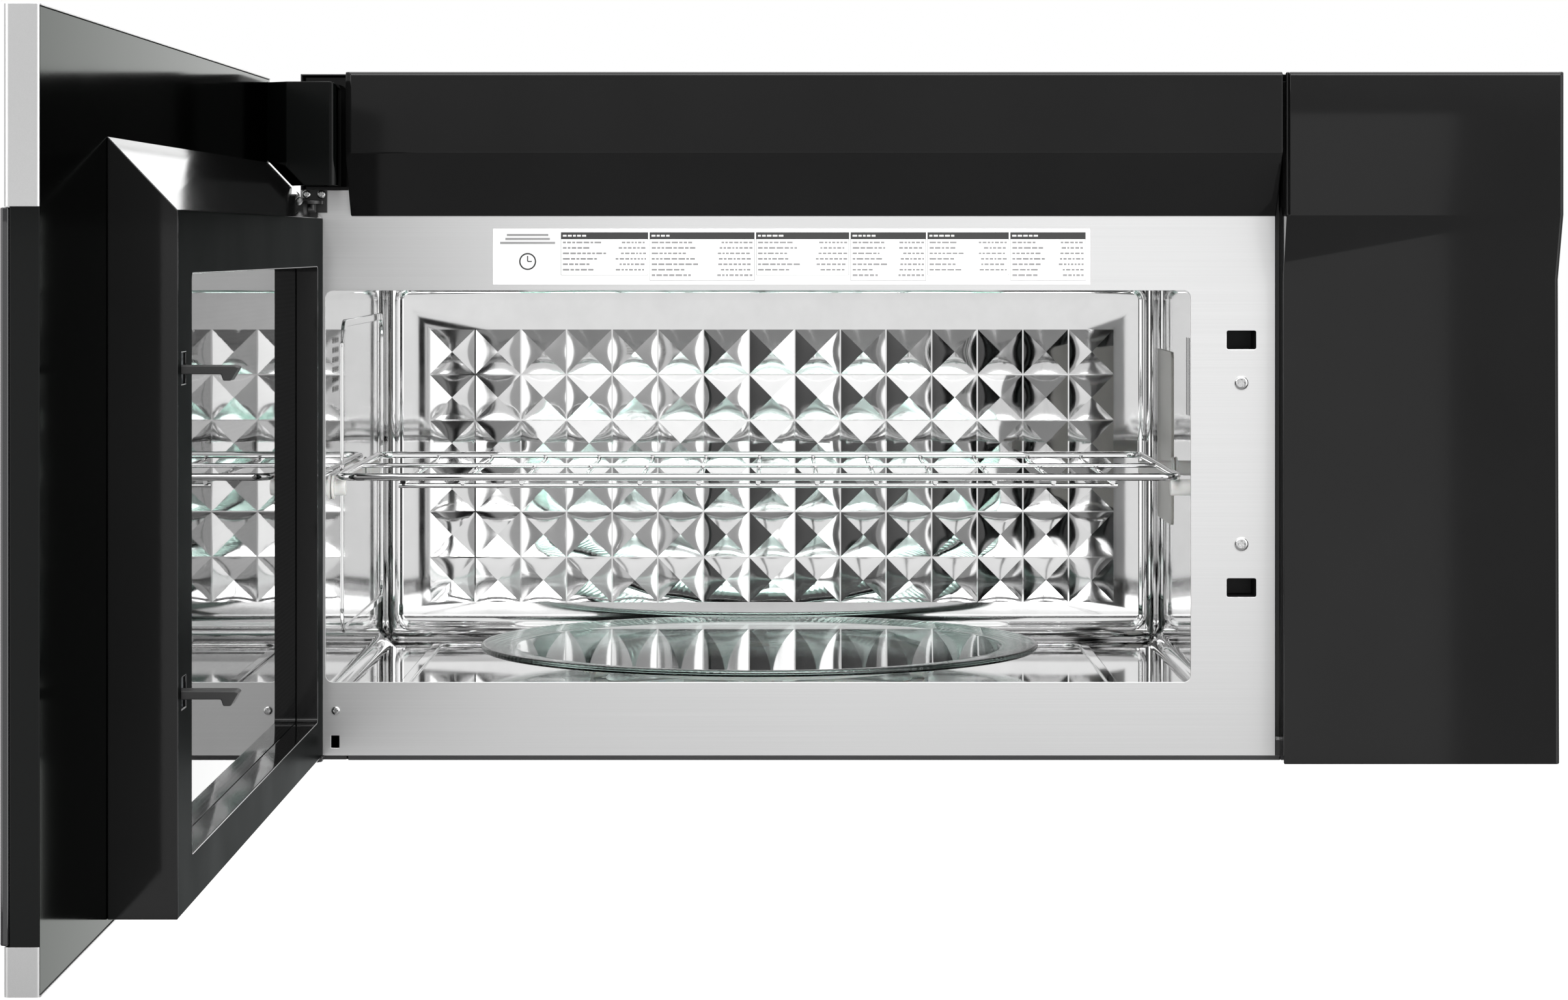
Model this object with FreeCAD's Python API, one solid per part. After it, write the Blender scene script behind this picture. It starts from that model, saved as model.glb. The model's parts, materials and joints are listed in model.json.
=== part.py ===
import FreeCAD, Part
import math
import os
from FreeCAD import Rotation, Vector

# An over-the-range microwave with its full width door standing open at a right angle.
# Millimetres. X runs from the middle of the body to the right, Y from the wall with the
# front towards -Y, and heights are measured up from the underside of the body. The
# finished solids are lowered so that the frame's origin is the middle of the wall plate.

# ---- body
body_width = 759.0
body_height = 415.4
body_depth = 405.0          # wall to the face of the steel front plate
case_sheet = 0.8
side_vent_count = 5
side_vent_back = 120.0
side_vent_run = 70.0
rear_sheet = 1.0
base_sheet = 1.0
base_flange = 12.0
plate_sheet = 1.0
cord_hole_radius = 11.0
cord_from_right = 70.0
cord_from_wall = 60.0
case_screw_radius = 1.6
case_screw_in = 12.0        # rear panel to the case screws
case_screw_margin = 60.0
plate_width = 590.5
plate_foot = 2.7
plastic_wall = 2.5
seam = 0.3                  # gap between neighbouring covers

# ---- fascias
fascia_proud = 33.0
fascia_flat = 48.6
fascia_height = 86.4
fascia_bevel = 1.6
fascia_end_chamfer = 3.2    # at the hinge end, where the door's inner face swings past
fascia_end = 30.5           # the upper fascia stops this far from the hinge side
hinge_well_depth = 10.5     # the well beside it that the door's hinge housing turns in
hinge_well_sink = 6.0
fascia_tuck = 16.0          # how far the steel plate runs up behind the upper fascia
panel_gap = 2.7             # steel plate to the side of the right fascia
panel_shoulder = 1.8        # the right fascia's upper zone starts this much further right
panel_low_proud = 16.0
panel_foot_proud = 20.0
panel_high_height = 85.7
panel_slope_height = 38.8

# ---- cavity
opening_inset = 15.2
opening_right_inset = 51.2     # opening to the steel plate's right edge
cavity_overhang = 14.6         # the cavity reaches this far right of the opening
opening_bottom = 47.2
opening_below_fascia = 44.7  # top of the opening to the lower lip of the upper fascia
opening_corner = 4.5
label_left_margin = 101.4      # opening to the quick guide label
label_right_margin = 61.0
label_rise = 3.6
label_height = 33.9
label_sheet = 0.25
cavity_sheet = 0.8
cavity_floor_height = 36.0
ceiling_above_opening = 5.7
cavity_to_wall = 24.3
floor_lip_run = 12.0
floor_press = 1.5
floor_press_side = 37.0
floor_press_back = 40.7
floor_press_width = 7.0
floor_press_corner = 14.0
pyramid_rows = 6
pyramid_pitch = 32.0
pyramid_base = 31.0
pyramid_rise = 3.9
field_shift = 8.0           # the pyramids sit this much right of the opening's middle
field_drop = 6.0            # and this much below it
emboss_rise = 1.2
back_border = 4.0
border_inset = 10.0
border_corner = 9.0
side_emboss = 5.0
side_emboss_corner = 18.0
side_emboss_front = 90.0
side_emboss_back = 30.0
side_emboss_low = 30.0
side_emboss_high = 25.0
rib_count = 7
rib_pitch = 9.0
rib_width = 4.0
rib_height = 50.0
rib_below_ceiling = 88.0
rib_start = 110.0           # behind the steel plate
lamp_hole = 2.0
lamp_hole_pitch = 6.0
lamp_hole_count = 6
lamp_back = 54.0
lamp_below_ceiling = 52.0
lamp_board_half = 24.0
lamp_board_gap = 6.0
lamp_board_sheet = 2.0
chip_radius = 3.0

# ---- rack and turntable
rack_wire = 2.3
rack_cross_wire = 1.5
rack_side_gap = 6.0
rack_front = 12.0
rack_to_back = 113.7        # rear rail to the cavity's back, clear of the waveguide cover
rack_height = 170.7
rack_corner = 12.0
rack_weld = 0.7             # how far crossing wires sink into each other
rack_brace_back = 3.1
rack_cross_pitch = 36.0
stud_radius = 5.0
stud_length = 9.0
stud_inset = 22.0
tray_off_middle = 1.75      # the turntable's axis stands this much in front of the middle
tray_edge_gap = 7.1         # steel plate to the tray's edge
tray_thickness = 4.0
tray_rim_rise = 6.0
tray_rim_run = 23.5
roller_radius = 5.2
roller_width = 9.0
roller_track = 118.0
roller_count = 3
running_gap = 0.3
coupler_radius = 15.0
shaft_radius = 3.5
shaft_fit = 0.05

# ---- door, drawn closed and then swung open
door_edge_inset = 0.5
door_width = 756.5
door_top_inset = 2.7
door_drop = 0.8             # below the underside of the body
door_seal_gap = 2.0
door_proud = 51.1
door_fascia_gap = 1.4
door_glass = 4.0
door_wall = 1.5
door_cover = 2.0
housing_end = 5.6           # hinge axis to the hinge housing's four sides
housing_reach = 16.0
housing_shoulder = 4.0
housing_back = 17.0
housing_bevel = 12.6
housing_corner = 5.0
housing_foot_gap = 2.5      # above the steel plate
housing_top_gap = 2.7       # below the door's top
housing_chamfer_gap = 1.0   # above the box's slope
housing_face_gap = 10.2
box_inset = 3.0
box_right_clearance = 4.7
box_bottom = 3.0
box_top_gap = 1.0           # below the lower lip of the upper fascia
box_chamfer_rise = 34.0
trim_sheet = 0.8
trim_step = 1.7             # the stainless bands stand this far behind the glass face
trim_top_height = 84.5
trim_bottom_height = 20.9
window_left_margin = 26.5
window_right_margin = 44.3
window_low_margin = 23.5
window_high_margin = 29.4
window_glass = 3.0
window_recess = 13.0
window_corner = 3.0
window_lap = 5.0            # how far the glass reaches behind the edge of its recess
screen_lap = 8.0
screen_sheet = 0.5
frame_sheet = 0.8
hinge_inset = 7.9
hinge_proud = 8.0
pin_radius = 2.5
pin_fit = 0.05
pin_length = 20.0
tab_radius = 6.5
tab_sheet = 2.2
upper_tab_rise = 7.5        # above the lower lip of the upper fascia
hinge_leg_sheet = 1.8
bush_depth = 15.0

# ---- latch
slot_width = 17.9
slot_height = 11.3
slot_inset = 20.5           # slot middle to the steel plate's right edge
slot_heights = (104.4, 254.4)
hook_width = 13.0
hook_thickness = 4.0
hook_nose = 3.0
hook_reach = 26.0
hook_travel = 3.0
plate_screw_heights = (130.8, 228.4)
screw_head_radius = 4.2
screw_head_height = 1.6
screw_radius = 1.9
screw_fit = 0.1

# ---- ventilation
collar_width = 254.0
collar_depth = 82.5
collar_height = 12.0
collar_sheet = 1.0
collar_to_rear = 17.0
collar_flange = 12.0
flap_sheet = 1.0
flap_axis_inset = 4.0
flap_axis_rise = 4.0
flap_barrel_radius = 2.4
flap_pin_radius = 1.5
blower_back = 75.0
blower_below_top = 65.4
scroll_radius = 54.0
scroll_width = 78.0
scroll_offset = 101.0
blower_wheel_radius = 42.0
blower_wheel_width = 58.0
blower_blades = 24
blower_motor_radius = 34.0
blower_motor_length = 76.0
blower_shaft_radius = 4.0
filter_width = 270.0
filter_depth = 140.0
filter_height = 8.0
filter_frame = 9.0
filter_offset = 195.0
filter_back = 120.0
filter_slide = 8.0
filter_slats = 14
grille_width = 600.0
grille_depth = 38.0
grille_front = 14.0
grille_slats = 40
lamp_lens_width = 84.0
lamp_lens_depth = 46.0
lamp_lens_offset = 200.0
lamp_lens_in = 85.0         # behind the steel plate
lamp_rim = 3.0

# ---- high voltage side
guide_depth = 40.0
guide_width = 96.0
guide_back = 100.0
guide_height = 142.0
guide_below_ceiling = 28.0
guide_sheet = 1.0
mica_sheet = 1.0
magnetron_width = 92.0
magnetron_height = 86.0
magnetron_length = 84.0
fan_radius = 50.0
fan_blades = 5
core_width = 84.0
core_depth = 92.0
core_height = 74.0
capacitor_radius = 24.0
capacitor_length = 80.0
board_sheet = 1.6
relay_board_in = 30.0       # behind the steel plate
relay_board_margin = 24.0
relay_board_height = 140.0
panel_board_left = 30.0     # door box to the board behind the touch panel
panel_board_right = 22.0
panel_board_low = 70.8
panel_board_height = 240.0

# ---- mounts
wall_plate_sheet = 1.5
wall_plate_width = 700.0
wall_plate_height = 330.0
stud_pitch = 406.4          # wall studs 16 inches apart
wall_hole_radius = 3.5
wall_hole_rise = 260.0
bolt_head_room = 9.0
top_bolt_spacing = 482.6
top_bolt_back = 300.0
top_bolt_radius = 3.4

# ---- sizes that follow
left = -body_width / 2
right = body_width / 2
top = body_height
middle = body_height / 2
plate_front = -body_depth
plate_back = plate_front + plate_sheet
rear_back = -wall_plate_sheet
rear_front = rear_back - rear_sheet
fascia_front = plate_front - fascia_proud
fascia_lip = top - fascia_height
plate_right = left + plate_width
plate_top = fascia_lip + fascia_tuck
panel_left = plate_right + panel_gap
opening_left = left + opening_inset
opening_right = plate_right - opening_right_inset
cavity_right = opening_right + cavity_overhang
opening_top = fascia_lip - opening_below_fascia
cavity_ceiling_height = opening_top + ceiling_above_opening
cavity_back = -cavity_to_wall
cavity_depth = cavity_back - plate_front
cavity_middle = (opening_left + opening_right) / 2
field_room = cavity_right - opening_left - 2 * (border_inset + back_border)
pyramid_columns = int(field_room // pyramid_pitch)
rib_low = cavity_ceiling_height - rib_below_ceiling
lamp_height = cavity_ceiling_height - lamp_below_ceiling
guide_top = cavity_ceiling_height - guide_below_ceiling
guide_bottom = guide_top - guide_height
rack_depth = cavity_depth - rack_front - rack_to_back
rack_y0 = plate_front + rack_front
tray_back = cavity_depth / 2 - tray_off_middle
tray_radius = tray_back - tray_edge_gap
tray_base_radius = tray_radius - tray_rim_run
tray_y = plate_front + tray_back
tray_base = cavity_floor_height + 2 * roller_radius + 2 * running_gap
roller_height = cavity_floor_height + running_gap + roller_radius
hinge_x = left + hinge_inset
hinge_y = plate_front - hinge_proud
door_left = left + door_edge_inset
door_right = door_left + door_width
door_bottom = -door_drop
door_top = top - door_top_inset
upper_tab_height = fascia_lip + upper_tab_rise
box_top = fascia_lip - box_top_gap
box_face = plate_front - door_seal_gap
box_left = left + box_inset
box_right = panel_left - box_right_clearance
window_left = box_left + window_left_margin
window_right = box_right - window_right_margin
window_bottom = box_bottom + window_low_margin
window_top = box_top - window_high_margin
glass_face = box_face - window_recess
screen_plane = glass_face - window_glass
skin_back = fascia_front - door_fascia_gap
door_front = plate_front - door_proud
trim_front = door_front + trim_step
glass_low = door_bottom + trim_bottom_height
glass_high = door_top - trim_top_height
slot_x = plate_right - slot_inset
case_front = plate_back
fascia_left = left + fascia_end
case_screw_y = rear_front - case_screw_in
case_screw_heights = (case_screw_margin, middle, top - case_screw_margin)
lamp_lens_y = plate_front + lamp_lens_in
side_vent_y0 = -side_vent_back - side_vent_run
grille_left = -grille_width / 2
grille_right = grille_width / 2
grille_y0 = case_front + grille_front
grille_y1 = grille_y0 + grille_depth
collar_y1 = rear_front - collar_to_rear
collar_y0 = collar_y1 - collar_depth
flap_y = collar_y1 - flap_axis_inset
flap_z = top + flap_axis_rise
blower_height = top - blower_below_top
cord_place = (right - cord_from_right, -cord_from_wall, top - case_sheet)


def block(x0, x1, y0, y1, z0, z1):
    """A box between two corners."""
    return Part.makeBox(x1 - x0, y1 - y0, z1 - z0, Vector(x0, y0, z0))


def rod(radius, length, base, axis):
    """A round bar that starts at base and runs along axis."""
    return Part.makeCylinder(radius, length, Vector(*base), Vector(*axis))


def ring(outer, inner, length, base, axis):
    """A tube that starts at base and runs along axis."""
    return rod(outer, length, base, axis).cut(rod(inner, length, base, axis))


def join(solids):
    """One solid from several that touch or overlap."""
    first, *rest = solids
    return first.fuse(rest).removeSplitter() if rest else first


def group(solids):
    """Separate solids kept together."""
    return Part.makeCompound(solids)


def side_prism(points, x0, x1):
    """A profile of (y, z) points carried from x0 to x1."""
    corners = [Vector(x0, y, z) for y, z in points]
    face = Part.Face(Part.makePolygon(corners + corners[:1]))
    return face.extrude(Vector(x1 - x0, 0, 0))


def flat_prism(points, z0, z1):
    """A profile of (x, y) points carried from z0 to z1."""
    corners = [Vector(x, y, z0) for x, y in points]
    face = Part.Face(Part.makePolygon(corners + corners[:1]))
    return face.extrude(Vector(0, 0, z1 - z0))


def inset(points, depths):
    """Move each edge of a convex outline inwards by its own depth."""
    count = len(points)
    area = sum(points[i][0] * points[(i + 1) % count][1]
               - points[(i + 1) % count][0] * points[i][1] for i in range(count))
    turn = 1.0 if area > 0 else -1.0
    lines = []
    for i, depth in enumerate(depths):
        (a, b), (c, d) = points[i], points[(i + 1) % count]
        length = math.hypot(c - a, d - b)
        nx, ny = -(d - b) / length * turn, (c - a) / length * turn
        lines.append((nx, ny, nx * a + ny * b + depth))
    moved = []
    for i in range(count):
        (a, b, e), (c, d, f) = lines[i - 1], lines[i]
        det = a * d - b * c
        moved.append(((e * d - b * f) / det, (a * f - e * c) / det))
    return moved


def soft_block(x0, x1, y0, y1, z0, z1, radius, axis):
    """A box whose four edges along one axis are rounded."""
    solid = block(x0, x1, y0, y1, z0, z1)
    edges = []
    for edge in solid.Edges:
        ends = edge.Vertexes[1].Point - edge.Vertexes[0].Point
        if ends.cross(Vector(*axis)).Length < 1e-6:
            edges.append(edge)
    return solid.makeFillet(radius, edges)


def screw(x, y, z, axis, head_radius, head_height, shank_radius, shank_length):
    """A cross-head screw: axis points out of its head, and (x, y, z) is under the head."""
    out = Vector(*axis)
    head = Part.makeCylinder(head_radius, head_height, Vector(x, y, z), out)
    rim = [edge for edge in head.Edges
           if edge.Curve.TypeId == "Part::GeomCircle"
           and (edge.Curve.Center - Vector(x, y, z)).dot(out) > head_height / 2]
    head = head.makeFillet(head_height * 0.45, rim)
    shank = Part.makeCylinder(shank_radius, shank_length, Vector(x, y, z), out * -1)
    solid = head.fuse(shank)
    cross = head_radius * 0.55
    arm = head_radius * 0.14
    for turn in (0, 90):
        cut = block(-cross, cross, -arm, arm, head_height * 0.35, head_height * 2)
        cut.rotate(Vector(0, 0, 0), Vector(0, 0, 1), turn)
        cut.rotate(Vector(0, 0, 0), *axis_turn(out))
        cut.translate(Vector(x, y, z))
        solid = solid.cut(cut)
    return solid.removeSplitter()


def axis_turn(out):
    """The axis and the angle that turn +Z onto a direction."""
    turn = Rotation(Vector(0, 0, 1), out)
    return turn.Axis, math.degrees(turn.Angle)


def swing_open(solid):
    """Turn something drawn on the closed door to where the open door holds it."""
    moved = solid.copy()
    moved.rotate(Vector(hinge_x, hinge_y, 0), Vector(0, 0, 1), -90)
    return moved


def spread(count, pitch, centre):
    """Evenly pitched places about a centre."""
    return [centre + (i - (count - 1) / 2) * pitch for i in range(count)]


# ------------------------------------------------------------------ shell of the body
def wall_mounting_plate():
    half = wall_plate_width / 2
    low, high = middle - wall_plate_height / 2, middle + wall_plate_height / 2
    plate = block(-half, half, rear_back, 0, low, high)
    for x, z in wall_hole_places():
        plate = plate.cut(rod(wall_hole_radius, wall_plate_sheet, (x, rear_back, z), (0, 1, 0)))
    return plate


def wall_hole_places():
    return [(x, z) for x in (-stud_pitch / 2, stud_pitch / 2)
            for z in (middle - wall_hole_rise / 2, middle + wall_hole_rise / 2)]


def rear_panel():
    panel = block(left, right, rear_back - rear_sheet, rear_back, 0, top)
    for x in spread(14, 22, cavity_middle):
        for z in spread(3, 12, middle):
            panel = panel.cut(rod(3, rear_sheet, (x, rear_front, z), (0, 1, 0)))
    for x, z in wall_hole_places():
        panel = panel.cut(rod(bolt_head_room, rear_sheet, (x, rear_front, z), (0, 1, 0)))
    return panel


def outer_case():
    shell = block(left, right, case_front, rear_front, 0, top)
    shell = shell.cut(block(left + case_sheet, right - case_sheet, case_front, rear_front,
                            0, top - case_sheet))
    shell = shell.cut(block(grille_left, grille_right, grille_y0, grille_y1, 0, top))
    duct = (-collar_width / 2, collar_width / 2, collar_y0, collar_y1)
    shell = shell.cut(block(*duct, middle, top))
    for x in (-top_bolt_spacing / 2, top_bolt_spacing / 2):
        shell = shell.cut(rod(top_bolt_radius, case_sheet, (x, -top_bolt_back, top - case_sheet),
                              (0, 0, 1)))
    for z in spread(side_vent_count, 14, middle + 90):
        shell = shell.cut(block(right - case_sheet, right, side_vent_y0,
                                side_vent_y0 + side_vent_run, z - 2.5, z + 2.5))
    for z in case_screw_heights:
        for x0 in (left, right - case_sheet):
            shell = shell.cut(rod(case_screw_radius, case_sheet, (x0, case_screw_y, z), (1, 0, 0)))
    return shell.cut(rod(cord_hole_radius, case_sheet, cord_place, (0, 0, 1)))


def base_pan():
    x0, x1 = left + case_sheet, right - case_sheet
    pan = block(x0, x1, case_front, rear_front, 0, base_flange)
    pan = pan.cut(block(x0 + base_sheet, x1 - base_sheet, case_front + base_sheet,
                        rear_front - base_sheet, base_sheet, base_flange))
    lip = block(left, panel_left, plate_front, case_front, 0, plate_foot)
    pan = pan.fuse(lip)
    for x in (-filter_offset, filter_offset):
        pan = pan.cut(filter_hole(x))
    for x in (-lamp_lens_offset, lamp_lens_offset):
        pan = pan.cut(block(x - lamp_lens_width / 2, x + lamp_lens_width / 2,
                            lamp_lens_y - lamp_lens_depth / 2,
                            lamp_lens_y + lamp_lens_depth / 2, 0, base_sheet))
    pan = pan.cut(block(left, leg_right() + 1, plate_front,
                        case_front + hinge_leg_sheet + 1, 0, base_flange))
    return pan.removeSplitter()


def filter_hole(x):
    y = -filter_back
    return block(x - filter_width / 2 - seam, x + filter_width / 2 + filter_slide + seam,
                 y - filter_depth / 2 - seam, y + filter_depth / 2 + seam, 0, base_sheet)


def case_screws():
    return [screw(side * body_width / 2, case_screw_y, z, (side, 0, 0), 3.4, 1.6,
                  case_screw_radius, case_sheet)
            for z in case_screw_heights for side in (-1, 1)]


def front_plate():
    plate = block(left, plate_right, plate_front, plate_back, plate_foot, plate_top)
    hole = soft_block(opening_left, opening_right, plate_front, plate_back,
                      opening_bottom, opening_top, opening_corner, (0, 1, 0))
    plate = plate.cut(hole)
    for z in slot_heights:
        plate = plate.cut(latch_slot(z, plate_front, plate_back))
    for z in plate_screw_heights:
        plate = plate.cut(rod(screw_radius + screw_fit, plate_sheet, (slot_x, plate_front, z),
                              (0, 1, 0)))
    plate = plate.cut(block(hinge_slot_x(), hinge_slot_x() + 5, plate_front, plate_back, 7.4, 14.9))
    for x, z in lower_leg_screws() + upper_leg_screws():
        plate = plate.cut(rod(1.7, plate_sheet, (x, plate_front, z), (0, 1, 0)))
    return plate


def latch_slot(z, y0, y1):
    return soft_block(slot_x - slot_width / 2, slot_x + slot_width / 2, y0, y1,
                      z - slot_height / 2, z + slot_height / 2, 1.2, (0, 1, 0))


def hinge_slot_x():
    return hinge_x + 10.6


def leg_right():
    return hinge_x + 20


def lower_leg_screws():
    return [(hinge_x + 13.5, 30.0)]


def upper_leg_screws():
    return [(hinge_x - 4, upper_tab_height + 6), (hinge_x + 5, upper_tab_height + 6)]


def fascia_outline():
    """Side view of the upper fascia, from its top rear corner round the front."""
    slope_top = top - fascia_flat
    return [(case_front, top), (fascia_front + fascia_bevel, top),
            (fascia_front, top - fascia_bevel), (fascia_front, slope_top),
            (plate_front, fascia_lip), (case_front, fascia_lip)]


def upper_fascia():
    x0, x1 = fascia_left, plate_right + 0.5
    outline = fascia_outline()
    solid = side_prism(outline, x0, x1)
    wall = plastic_wall
    hollow = inset(outline, [wall, wall, wall, wall, 2 * wall, 0])
    solid = solid.cut(side_prism(hollow, x0 + wall, x1 - wall))
    solid = solid.cut(block(x0, x1, plate_front, case_front, fascia_lip, plate_top))
    c = fascia_end_chamfer
    solid = solid.cut(flat_prism([(x0, fascia_front), (x0 + c, fascia_front),
                                  (x0, fascia_front + c)], fascia_lip, top))
    return solid.fuse(hinge_well()).removeSplitter()


def hinge_well():
    """The walls at the fascia's hinge end that close the body behind the hinge housing."""
    wall = plastic_wall
    x0, y0 = left + case_sheet + seam, case_front + seam
    y1 = case_front + hinge_well_depth
    z0, z1 = plate_top - hinge_well_sink, top - case_sheet - seam
    return [block(x0, fascia_left + wall, y1, y1 + wall, z0, z1),
            block(x0, fascia_left + wall, y0, y1, z0, z0 + wall),
            block(fascia_left, fascia_left + wall, y0, y1, z0, z1),
            block(fascia_left, fascia_left + wall, case_front, y0, plate_top + wall, z1)]


def right_fascia():
    high = top - panel_high_height
    low = high - panel_slope_height
    outline = [(case_front, 0), (plate_front - panel_foot_proud, 0),
               (plate_front - panel_low_proud, low), (fascia_front, high),
               (fascia_front, top - fascia_bevel), (fascia_front + fascia_bevel, top),
               (case_front, top)]
    solid = side_prism(outline, panel_left, right)
    solid = solid.cut(block(panel_left, panel_left + panel_shoulder, fascia_front,
                            fascia_front + 4, high, top))
    wall = plastic_wall
    hollow = inset(outline, [wall, wall, wall, wall, wall, wall, 0])
    solid = solid.cut(side_prism(hollow, panel_left + panel_shoulder + wall, right - wall))
    edges = [edge for edge in solid.Edges if outer_corner(edge)]
    solid = solid.makeFillet(2.5, edges) if edges else solid
    flange = block(panel_left - 6, panel_left + plastic_wall, case_front, case_front + 1.5,
                   base_flange + 2, top - 4)
    return solid.fuse(flange).removeSplitter()


def outer_corner(edge):
    """The right fascia's outer front edges, at its right side."""
    points = [vertex.Point for vertex in edge.Vertexes]
    if len(points) < 2:
        return False
    on_right = all(abs(point.x - right) < 1e-6 for point in points)
    in_front = all(point.y < plate_front - 1 for point in points)
    tall = abs(points[0].z - points[1].z) > 10
    return on_right and in_front and tall


def top_vent_grille():
    x0, x1 = grille_left + seam, grille_right - seam
    y0, y1 = grille_y0 + seam, grille_y1 - seam
    frame = block(x0, x1, y0, y1, top - 4, top)
    frame = frame.cut(block(x0 + 4, x1 - 4, y0 + 4, y1 - 4, top - 4, top))
    pitch = (x1 - x0 - 8) / grille_slats
    slats = [frame]
    for i in range(1, grille_slats):
        x = x0 + 4 + i * pitch
        slats.append(block(x - 1, x + 1, y0 + 2, y1 - 2, top - 3.5, top - 0.5))
    return join(slats)


def charcoal_filter():
    return block(grille_left + 8, grille_right - 8, grille_y0 + 1, grille_y1 - 1,
                 top - 16, top - 4)


def quick_guide_label():
    return block(opening_left + label_left_margin, opening_right - label_right_margin,
                 plate_front - label_sheet, plate_front, opening_top + label_rise,
                 opening_top + label_rise + label_height)


def plate_screws():
    return [screw(slot_x, plate_front, z, (0, -1, 0), screw_head_radius, screw_head_height,
                  screw_radius, 9.0) for z in plate_screw_heights]


# ------------------------------------------------------------------ cavity
def cavity_floor():
    t = cavity_sheet
    x0, x1 = opening_left - t, cavity_right + t
    floor_top = cavity_floor_height
    lip = plate_back + floor_lip_run
    profile = [(plate_back, opening_bottom), (lip, floor_top), (cavity_back, floor_top),
               (cavity_back, floor_top - t), (lip - t, floor_top - t),
               (plate_back, opening_bottom - t * 1.6)]
    floor = side_prism(profile, x0, x1)
    ax, bx = x0 + floor_press_side, opening_right + t - floor_press_side
    ay, by = lip + 2, cavity_back - floor_press_back
    w, c = floor_press_width, floor_press_corner
    bead = soft_block(ax, bx, ay, by, floor_top, floor_top + floor_press, c, (0, 0, 1))
    bead = bead.cut(soft_block(ax + w, bx - w, ay + w, by - w, floor_top, floor_top + floor_press,
                               c - w / 2, (0, 0, 1)))
    floor = floor.fuse(bead)
    hole = rod(shaft_radius + 1.5, t, (cavity_middle, tray_y, floor_top - t), (0, 0, 1))
    return floor.cut(hole).removeSplitter()


def cavity_roof():
    t = cavity_sheet
    sheet = block(opening_left, cavity_right, plate_back, cavity_back,
                  cavity_ceiling_height, cavity_ceiling_height + t)
    curtain = block(opening_left, cavity_right, plate_back, plate_back + t,
                    opening_top, cavity_ceiling_height)
    return sheet.fuse(curtain).removeSplitter()


def cavity_left_wall():
    t = cavity_sheet
    wall = block(opening_left - t, opening_left, plate_back, cavity_back,
                 cavity_floor_height, cavity_ceiling_height + t)
    lip_notch = floor_lip_notch()
    wall = wall.cut(lip_notch)
    panel = side_panel(opening_left)
    holes = []
    for y in spread(lamp_hole_count, lamp_hole_pitch, plate_front + lamp_back):
        for z in spread(lamp_hole_count, lamp_hole_pitch, lamp_height):
            holes.append(rod(lamp_hole, 3 * t, (opening_left - 1.5 * t, y, z), (1, 0, 0)))
    return wall.fuse(panel).cut(holes).removeSplitter()


def side_panel(x):
    """The raised bead of a pressed panel on a side wall."""
    y0, y1 = plate_back + side_emboss_front, cavity_back - side_emboss_back
    z0, z1 = cavity_floor_height + side_emboss_low, cavity_ceiling_height - side_emboss_high
    w, c = side_emboss, side_emboss_corner
    outer = soft_block(x, x + emboss_rise, y0, y1, z0, z1, c, (1, 0, 0))
    inner = soft_block(x, x + emboss_rise, y0 + w, y1 - w, z0 + w, z1 - w, c - w, (1, 0, 0))
    return outer.cut(inner)


def floor_lip_notch():
    """Room for the end of the floor's front lip in a side wall."""
    lip = plate_back + floor_lip_run
    profile = [(plate_back - 1, cavity_floor_height - 1), (lip + 1, cavity_floor_height - 1),
               (lip, cavity_floor_height), (plate_back, opening_bottom),
               (plate_back - 1, opening_bottom)]
    return side_prism(profile, opening_left - 2 * cavity_sheet, cavity_right + 2 * cavity_sheet)


def cavity_right_wall():
    t = cavity_sheet
    wall = block(cavity_right, cavity_right + t, plate_back, cavity_back,
                 cavity_floor_height, cavity_ceiling_height + t)
    wall = wall.cut(floor_lip_notch())
    slots = []
    for i in range(rib_count):
        y = plate_front + rib_start + i * rib_pitch
        slots.append(block(cavity_right - t, cavity_right + 2 * t, y, y + rib_width,
                           rib_low, rib_low + rib_height))
    port = block(cavity_right, cavity_right + t, *guide_span(6), guide_bottom + 12,
                 guide_top - 30)
    return wall.cut(slots + [port])


def guide_span(margin):
    middle_y = -guide_back
    return middle_y - guide_width / 2 + margin, middle_y + guide_width / 2 - margin


def cavity_back_wall():
    t = cavity_sheet
    x0, x1 = opening_left - t, cavity_right + t
    z0, z1 = cavity_floor_height - t, cavity_ceiling_height + t
    wall = block(x0, x1, cavity_back, cavity_back + t, z0, z1)
    field_middle = (cavity_floor_height + cavity_ceiling_height) / 2 - field_drop
    studs = []
    dents = []
    for x in spread(pyramid_columns, pyramid_pitch, cavity_middle + field_shift):
        for z in spread(pyramid_rows, pyramid_pitch, field_middle):
            studs.append(pyramid(x, cavity_back, z, pyramid_rise))
            dents.append(pyramid(x, cavity_back + t, z, pyramid_rise))
    m, w, y = border_inset, back_border, cavity_back - emboss_rise
    border = soft_block(x0 + m, x1 - m, y, cavity_back, z0 + m + 2, z1 - m, border_corner,
                        (0, 1, 0))
    border = border.cut(soft_block(x0 + m + w, x1 - m - w, y, cavity_back, z0 + m + 2 + w,
                                   z1 - m - w, border_corner - w + 1, (0, 1, 0)))
    return wall.fuse(studs + [border]).cut(dents).removeSplitter()


def pyramid(x, y, z, rise):
    """A four sided pressing that stands towards the front from the plane at y."""
    half = pyramid_base / 2
    tip = Vector(x, y - rise, z)
    ring_points = [Vector(x - half, y, z - half), Vector(x + half, y, z - half),
                   Vector(x + half, y, z + half), Vector(x - half, y, z + half)]
    faces = [Part.Face(Part.makePolygon(ring_points + ring_points[:1]))]
    for i, corner in enumerate(ring_points):
        after = ring_points[(i + 1) % 4]
        faces.append(Part.Face(Part.makePolygon([corner, after, tip, corner])))
    return Part.makeSolid(Part.makeShell(faces))


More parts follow.
